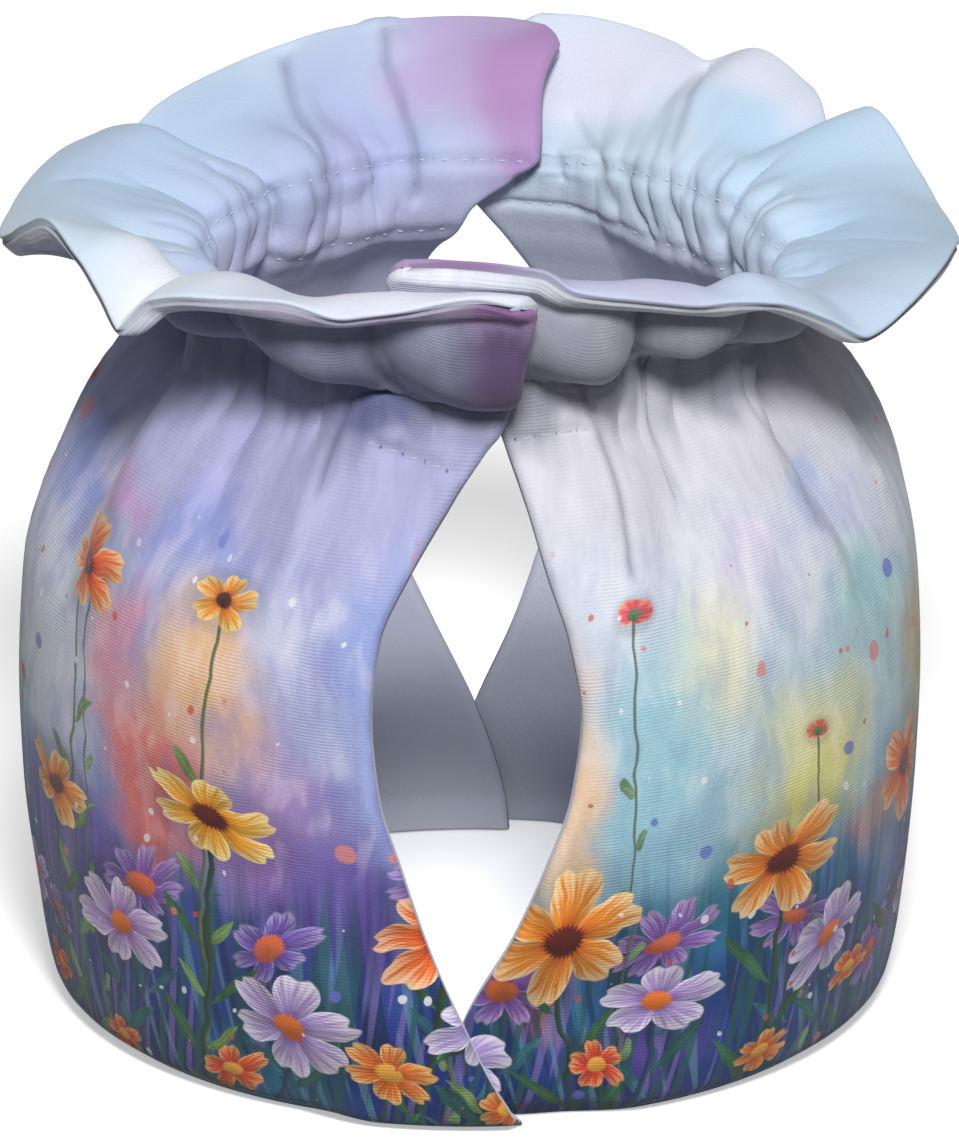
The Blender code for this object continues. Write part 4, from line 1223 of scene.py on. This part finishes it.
def finishAndShadeCloth(tree, paint, cut, outside, rim):
    # ribs, needle holes along the neck's seams, creases, a fine fuzz, and for the outer cloth at
    # the rim the ridges that its edge is quilted with. Painted shade darkens the ribs' grooves,
    # the needle holes, the creases and seams and the seam groove at the rim, and painted light
    # and shade runs along the ridges.
    add = partial(addNode, tree)
    finishAndShade = clothFinishAndShade
    across, up = add("SeparateXYZ", cut).outputs[:2]
    waver = add("TexNoise 2D", Vector=cut, Scale=1 / 11, Detail=1.0).outputs["Fac"]
    ribs = add("Math MULTIPLY", up, 2 * math.pi / finishAndShade["ribPitch"])
    ribs = add("Math SINE", add("Math MULTIPLY_ADD", waver, 9.0, ribs))
    ribs = add("Math MULTIPLY", ribs, add("MapRange SMOOTHSTEP", waver, 0.35, 0.65, 0.15, 1.0))
    stitchAt = add("Math DIVIDE", across, stitching["pitch"])
    stitchAt = add("Math SUBTRACT", add("Math FRACT", stitchAt), 0.5)
    stitchAt = add("Math MULTIPLY", stitchAt, stitching["pitch"])
    seam = add("Attribute", attribute_name="seamDistance").outputs["Fac"]
    hole = add("VectorMath LENGTH", add("CombineXYZ", stitchAt, seam))
    sunk = add("Attribute", attribute_name="sunk").outputs["Fac"]
    # painted shade: the ribs' grooves are darker
    tone = add("Math MULTIPLY_ADD", ribs, finishAndShade["ribShade"] * outside, 1.0)
    # painted shade in the needle holes, in the creases and seams, and in the seam groove at the
    # rim
    for value, *ends in (
        (hole, 0.15, 0.5, 0.4 if outside else 0.8, 1.0),
        (sunk, 0.15, 1.0, 1.0, finishAndShade["creaseShade"]),
        (up, *finishAndShade["rimSeam"], 1.0, 0.66),
    ):
        shade = add("MapRange SMOOTHSTEP", value, *ends)
        tone = add("Math MULTIPLY", tone, shade)
    fuzz = add("TexNoise 2D", Vector=cut, Scale=1 / finishAndShade["fuzz"], Detail=0.0)
    relief = add("Math MULTIPLY_ADD", ribs, 0.5 * outside, fuzz.outputs["Fac"])
    if rim:
        ridge = add("Math MULTIPLY", up, 2 * math.pi / finishAndShade["ridgePitch"])
        ridge = add("Math SINE", add("Math MULTIPLY_ADD", waver, 4.0, ridge))
        for ends in finishAndShade["ridges"]:
            fade = add("MapRange SMOOTHSTEP", up, *ends)
            ridge = add("Math MULTIPLY", ridge, fade)
        relief = add("Math ADD", ridge, relief)
        # painted light and shade along the ridges
        shade = add("Math MULTIPLY_ADD", ridge, finishAndShade["ridgeShade"], 1.0)
        tone = add("Math MULTIPLY", tone, shade)
    setSurface(tree, {
        "Base Color": add("HueSaturation", Color=paint, Value=tone),
        "Normal": add("Bump", Height=relief, Distance=finishAndShade["ribHeight"] * mm, Strength=0.8),
        "Roughness": finishAndShade["roughness"],
        "Sheen Weight": finishAndShade["sheen"],
        "Sheen Roughness": 0.5,
        "Specular IOR Level": 0.3,
    })


leftLining = {
    "runs": 45.0,
    "runsShift": (40.0, 14.0),
    "blend": "LINEAR",
    "washEdge": (1.2, 0.2),
    "ground": (
        (0, "#e3e6f2"), (120, "#c9cbe8"), (136, "#b9c4e4"), (150, "#bed2e7"), (172, "#cadbea"),
    ),
    "washes": (
        (-10, 158, 42, 26, "#e6e5f2", 1.0), (-60, 160, 24, 22, "#e4e8f2", 1.0),
        (-112, 152, 28, 22, "#c3d8e8", 0.8), (-150, 152, 30, 26, "#b4cce8", 0.8),
        (-186, 158, 30, 20, "#b4cbe8", 0.8), (-208, 142, 26, 16, "#b0b3de", 0.8),
        (-222, 150, 16, 30, "#b1b8e0", 0.9), (-242, 160, 13, 34, "#bbacd8", 0.9),
        (-263, 160, 21, 60, "#b28cbf", 1.0),
    ),
}

rightLining = {
    "runs": 45.0,
    "runsShift": (40.0, 14.0),
    "blend": "LINEAR",
    "washEdge": (1.2, 0.2),
    "ground": (
        (0, "#e3e6f2"), (120, "#d3dbec"), (136, "#c3d6e8"), (150, "#bdd4ea"), (172, "#c4daec"),
    ),
    "washes": (
        (-8, 164, 34, 22, "#a684b2", 1.0), (34, 160, 26, 20, "#c5bddc", 0.9),
        (68, 156, 28, 22, "#c3cfea", 0.8), (124, 152, 34, 28, "#b3d0ea", 0.8),
        (168, 152, 24, 28, "#b9d4ec", 0.8), (214, 158, 26, 24, "#e0e2f2", 1.0),
        (246, 158, 26, 22, "#e4e2f2", 0.9), (204, 140, 20, 8, "#c4d6e6", 0.8),
        (189, 168, 15, 14, "#e6e6f4", 0.75),
    ),
}


def plainLining(name, design):
    # The same woven polyester with soft washes of dye: matt and smooth, its ribs faint. Its
    # creases, seams, needle holes and the seam groove at the rim get painted shade.
    material, tree = newMaterial(name)
    add = partial(addNode, tree)
    cut = add("UVMap", uv_map="cut").outputs["UV"]
    slow = add("TexNoise 2D", Vector=cut, Scale=1 / design["runs"], Detail=3.0)
    slow = add("VectorMath SUBTRACT", slow.outputs["Color"], (0.5, 0.5, 0.5))
    slow = add("VectorMath MULTIPLY_ADD", slow, (*design["runsShift"], 0.0), cut)
    finishAndShadeCloth(tree, dyeAndPaintedShade(tree, slow, design), cut, 0.0, False)
    return material


stitching = {
    "pitch": 5.2,  # of the flat cloth, which the gathers draw in to 3.8 mm
    "long": 2.7,
    "thick": 0.3,
    "raised": 0.1,
    "outsideColour": "#c6c7d8",
    "liningColour": "#cbd7ee",
    "rings": 7,
    "sides": 8,
    "sag": 0.35,  # how far a stitch's ends go into the cloth
    "liningLong": 0.55,  # the lining's stitches are drawn in by the gathers
    "fromEdge": (3.0, 3.6),  # millimetres kept free of a hidden edge and of a shown one
    "outsideTurns": 21.0,  # how far from a slit the outside shows its stitches
}


def stitchRow(panel, seamLevel, side):
    # places, ways along and ways out for the stitches of one seam on one face
    cloth = cosyCloth
    step = math.degrees(stitching["pitch"] / panelMesh["flatReach"])
    start, end = (-196.0, 14.0) if panel["halfTurn"] == 0 else (-18.0, 192.0)
    turns = np.arange(math.ceil(start / step), math.floor(end / step)) * step
    levels = seamLevel(turns)
    outside, inside, reach = panelEdges(panel, levels)
    span = 180.0 + outside - inside
    fromOutside = panel["halfTurn"] + outside - turns
    lapped = np.maximum(span - 180.0, 0.0)
    hidden = span - fromOutside if side > 0 else fromOutside
    shown = span - hidden
    hiddenFree, shownFree = stitching["fromEdge"]
    keep = (hidden > lapped + hiddenFree) & (shown > shownFree)
    keep &= (side < 0) | (turnsFromSlit(turns) < stitching["outsideTurns"])
    turns, levels = turns[keep], levels[keep]
    here = midCloth(panel, turns, levels)
    along = midCloth(panel, turns + 0.4, levels) - midCloth(panel, turns - 0.4, levels)
    up = midCloth(panel, turns, levels + 0.5) - midCloth(panel, turns, levels - 0.5)
    along /= np.linalg.norm(along, axis=-1)[:, None]
    out = np.cross(along, up)
    out /= np.linalg.norm(out, axis=-1)[:, None]
    out *= side
    reach = np.hypot(here[:, 0] - cloth["axisX"], here[:, 1] - cloth["axisY"])
    half = np.full(len(turns), cloth["thick"] / 2)
    dip = faceDips(panel, turns, levels, reach, half)[0 if side > 0 else 1]
    return here + out * (half - dip + stitching["raised"])[:, None], along, out


def buildStitches(name, threads):
    # every stitch is a short bar with round ends, a little flat, that dips at both ends
    rings, sides, sag = stitching["rings"], stitching["sides"], stitching["sag"]
    bar = []
    for part in np.linspace(-1, 1, rings):
        radius = stitching["thick"] / 2 * math.sqrt(max(1 - part**4, 0.06))
        for k in range(sides):
            a = 2 * math.pi * k / sides
            bar.append((part * stitching["long"] / 2, radius * math.cos(a),
                        radius * math.sin(a) * 0.8 - sag * part * part))
    bar = np.array(bar)
    bricks = []
    for i in range(rings - 1):
        for k in range(sides):
            here, after, n = i * sides, (i + 1) * sides, (k + 1) % sides
            bricks.append((here + k, here + n, after + n, after + k))
    bricks.append(tuple(range(sides))[::-1])
    bricks.append(tuple((rings - 1) * sides + k for k in range(sides)))
    points, faces, slots = [], [], []
    for panel in panels.values():
        low = panel["seamLowAt"]
        for seamLevel in (lambda turns, low=low: low(turns)[..., 0],
                          lambda turns: np.full(len(turns), cosyCloth["seamTop"])):
            for side in (1, -1):
                here, along, out = stitchRow(panel, seamLevel, side)
                wide = np.cross(out, along)
                long = 1.0 if side > 0 else stitching["liningLong"]
                for k in range(len(here)):
                    start = len(points) * len(bar)
                    ends = bar[:, :1] * long * along[k]
                    points.append(here[k] + ends + bar[:, 1:2] * wide[k] + bar[:, 2:] * out[k])
                    faces += [tuple(start + j for j in brick) for brick in bricks]
                    slots += [0 if side > 0 else 1] * len(bricks)
    return newPiece(name, np.concatenate(points), faces, slots, threads)


def sewingThread(name, code):
    # Spun polyester thread: pale, with a slight gloss and its twist as a fine bump.
    material, tree = newMaterial(name)
    add = partial(addNode, tree)
    where = add("TexCoord").outputs["Object"]
    twist = add("TexNoise", Vector=where, Scale=3000.0, Detail=2.0).outputs["Fac"]
    tone = add("MapRange LINEAR", twist, 0.0, 1.0, 0.8, 1.1)
    setSurface(tree, {
        "Base Color": add("VectorMath SCALE", Vector=colour(code)[:3], Scale=tone),
        "Normal": add("Bump", Height=twist, Distance=0.05 * mm),
        "Roughness": 0.6,
        "Sheen Weight": 0.1,
    })
    return material


leftPanel = buildPanel(
    "left_panel", plainLining("leftLiningPolyester", leftLining),
    *(printedCloth("leftPrintedPolyester", leftPrint, bottom) for bottom in printBands))
rightPanel = buildPanel(
    "right_panel", plainLining("rightLiningPolyester", rightLining),
    *(printedCloth("rightPrintedPolyester", rightPrint, bottom) for bottom in printBands))
neckStitches = buildStitches("neck_stitches", (
    sewingThread("paleSpunPolyester", stitching["outsideColour"]),
    sewingThread("blueSpunPolyester", stitching["liningColour"])))
print("cosy: panels and stitches made")

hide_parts("left_panel")
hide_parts("right_panel")
for piece in (leftPanel, rightPanel, neckStitches):
    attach(piece, "root")


studio = {
    "floor": "#ffffff",
    "floorHalf": 6.0,  # metres
    "floorAt": -0.0003,  # just under the hem
    "glow": 0.42,  # keeps the paper white
    "above": 0.3,  # strength of the soft light from all round above
    "below": 0.1,
    "lights": {  # place in metres, size, watts
        "keyLight": ((0.1, -1.75, 1.68), 0.5, 50.0),
    },
}


def buildStudio(setup):
    scene = bpy.context.scene
    scene.view_settings.view_transform = "Standard"
    world = bpy.data.worlds.new("studio")
    world.use_nodes = True
    scene.world = world
    tree = world.node_tree
    add = partial(addNode, tree)
    where = add("TexCoord")
    height = add("SeparateXYZ", where.outputs["Generated"])
    light = add(
        "MapRange SMOOTHSTEP", height.outputs[2], -0.1, 0.6, setup["below"], setup["above"])
    rays = add("LightPath")
    light = add("Mix FLOAT", rays.outputs["Is Camera Ray"], light, 1.0)
    background = tree.nodes["Background"].inputs
    feed(tree, background["Strength"], light)
    feed(tree, background["Color"], setup["floor"])
    mesh = bpy.data.meshes.new("floor")
    far, low = setup["floorHalf"], setup["floorAt"]
    corners = [(-far, -far, low), (far, -far, low), (far, far, low), (-far, far, low)]
    mesh.from_pydata(corners, [], [(0, 1, 2, 3)])
    floor = bpy.data.objects.new("floor", mesh)
    floor.visible_diffuse = False  # a dark table would do the same for the ruffle's underside
    scene.collection.objects.link(floor)
    paper, tree = newMaterial("mattPaper")  # plain white paper, quite without gloss
    setSurface(tree, {
        "Base Color": setup["floor"],
        "Emission Color": setup["floor"],
        "Emission Strength": setup["glow"],
        "Roughness": 0.9,
        "Specular IOR Level": 0.1,
    })
    mesh.materials.append(paper)
    for name, (place, size, watts) in setup["lights"].items():
        data = bpy.data.lights.new(name, "AREA")
        data.shape, data.size, data.energy = "DISK", size, watts
        light = bpy.data.objects.new(name, data)
        light.location = place
        scene.collection.objects.link(light)
        x, y, z = np.array(place) - np.array([0.0, 0.0, 0.08])  # faces the middle of the cosy
        light.rotation_euler = (
            math.acos(z / math.sqrt(x * x + y * y + z * z)), 0, math.atan2(x, -y))


buildStudio(studio)
print("cosy: studio made")
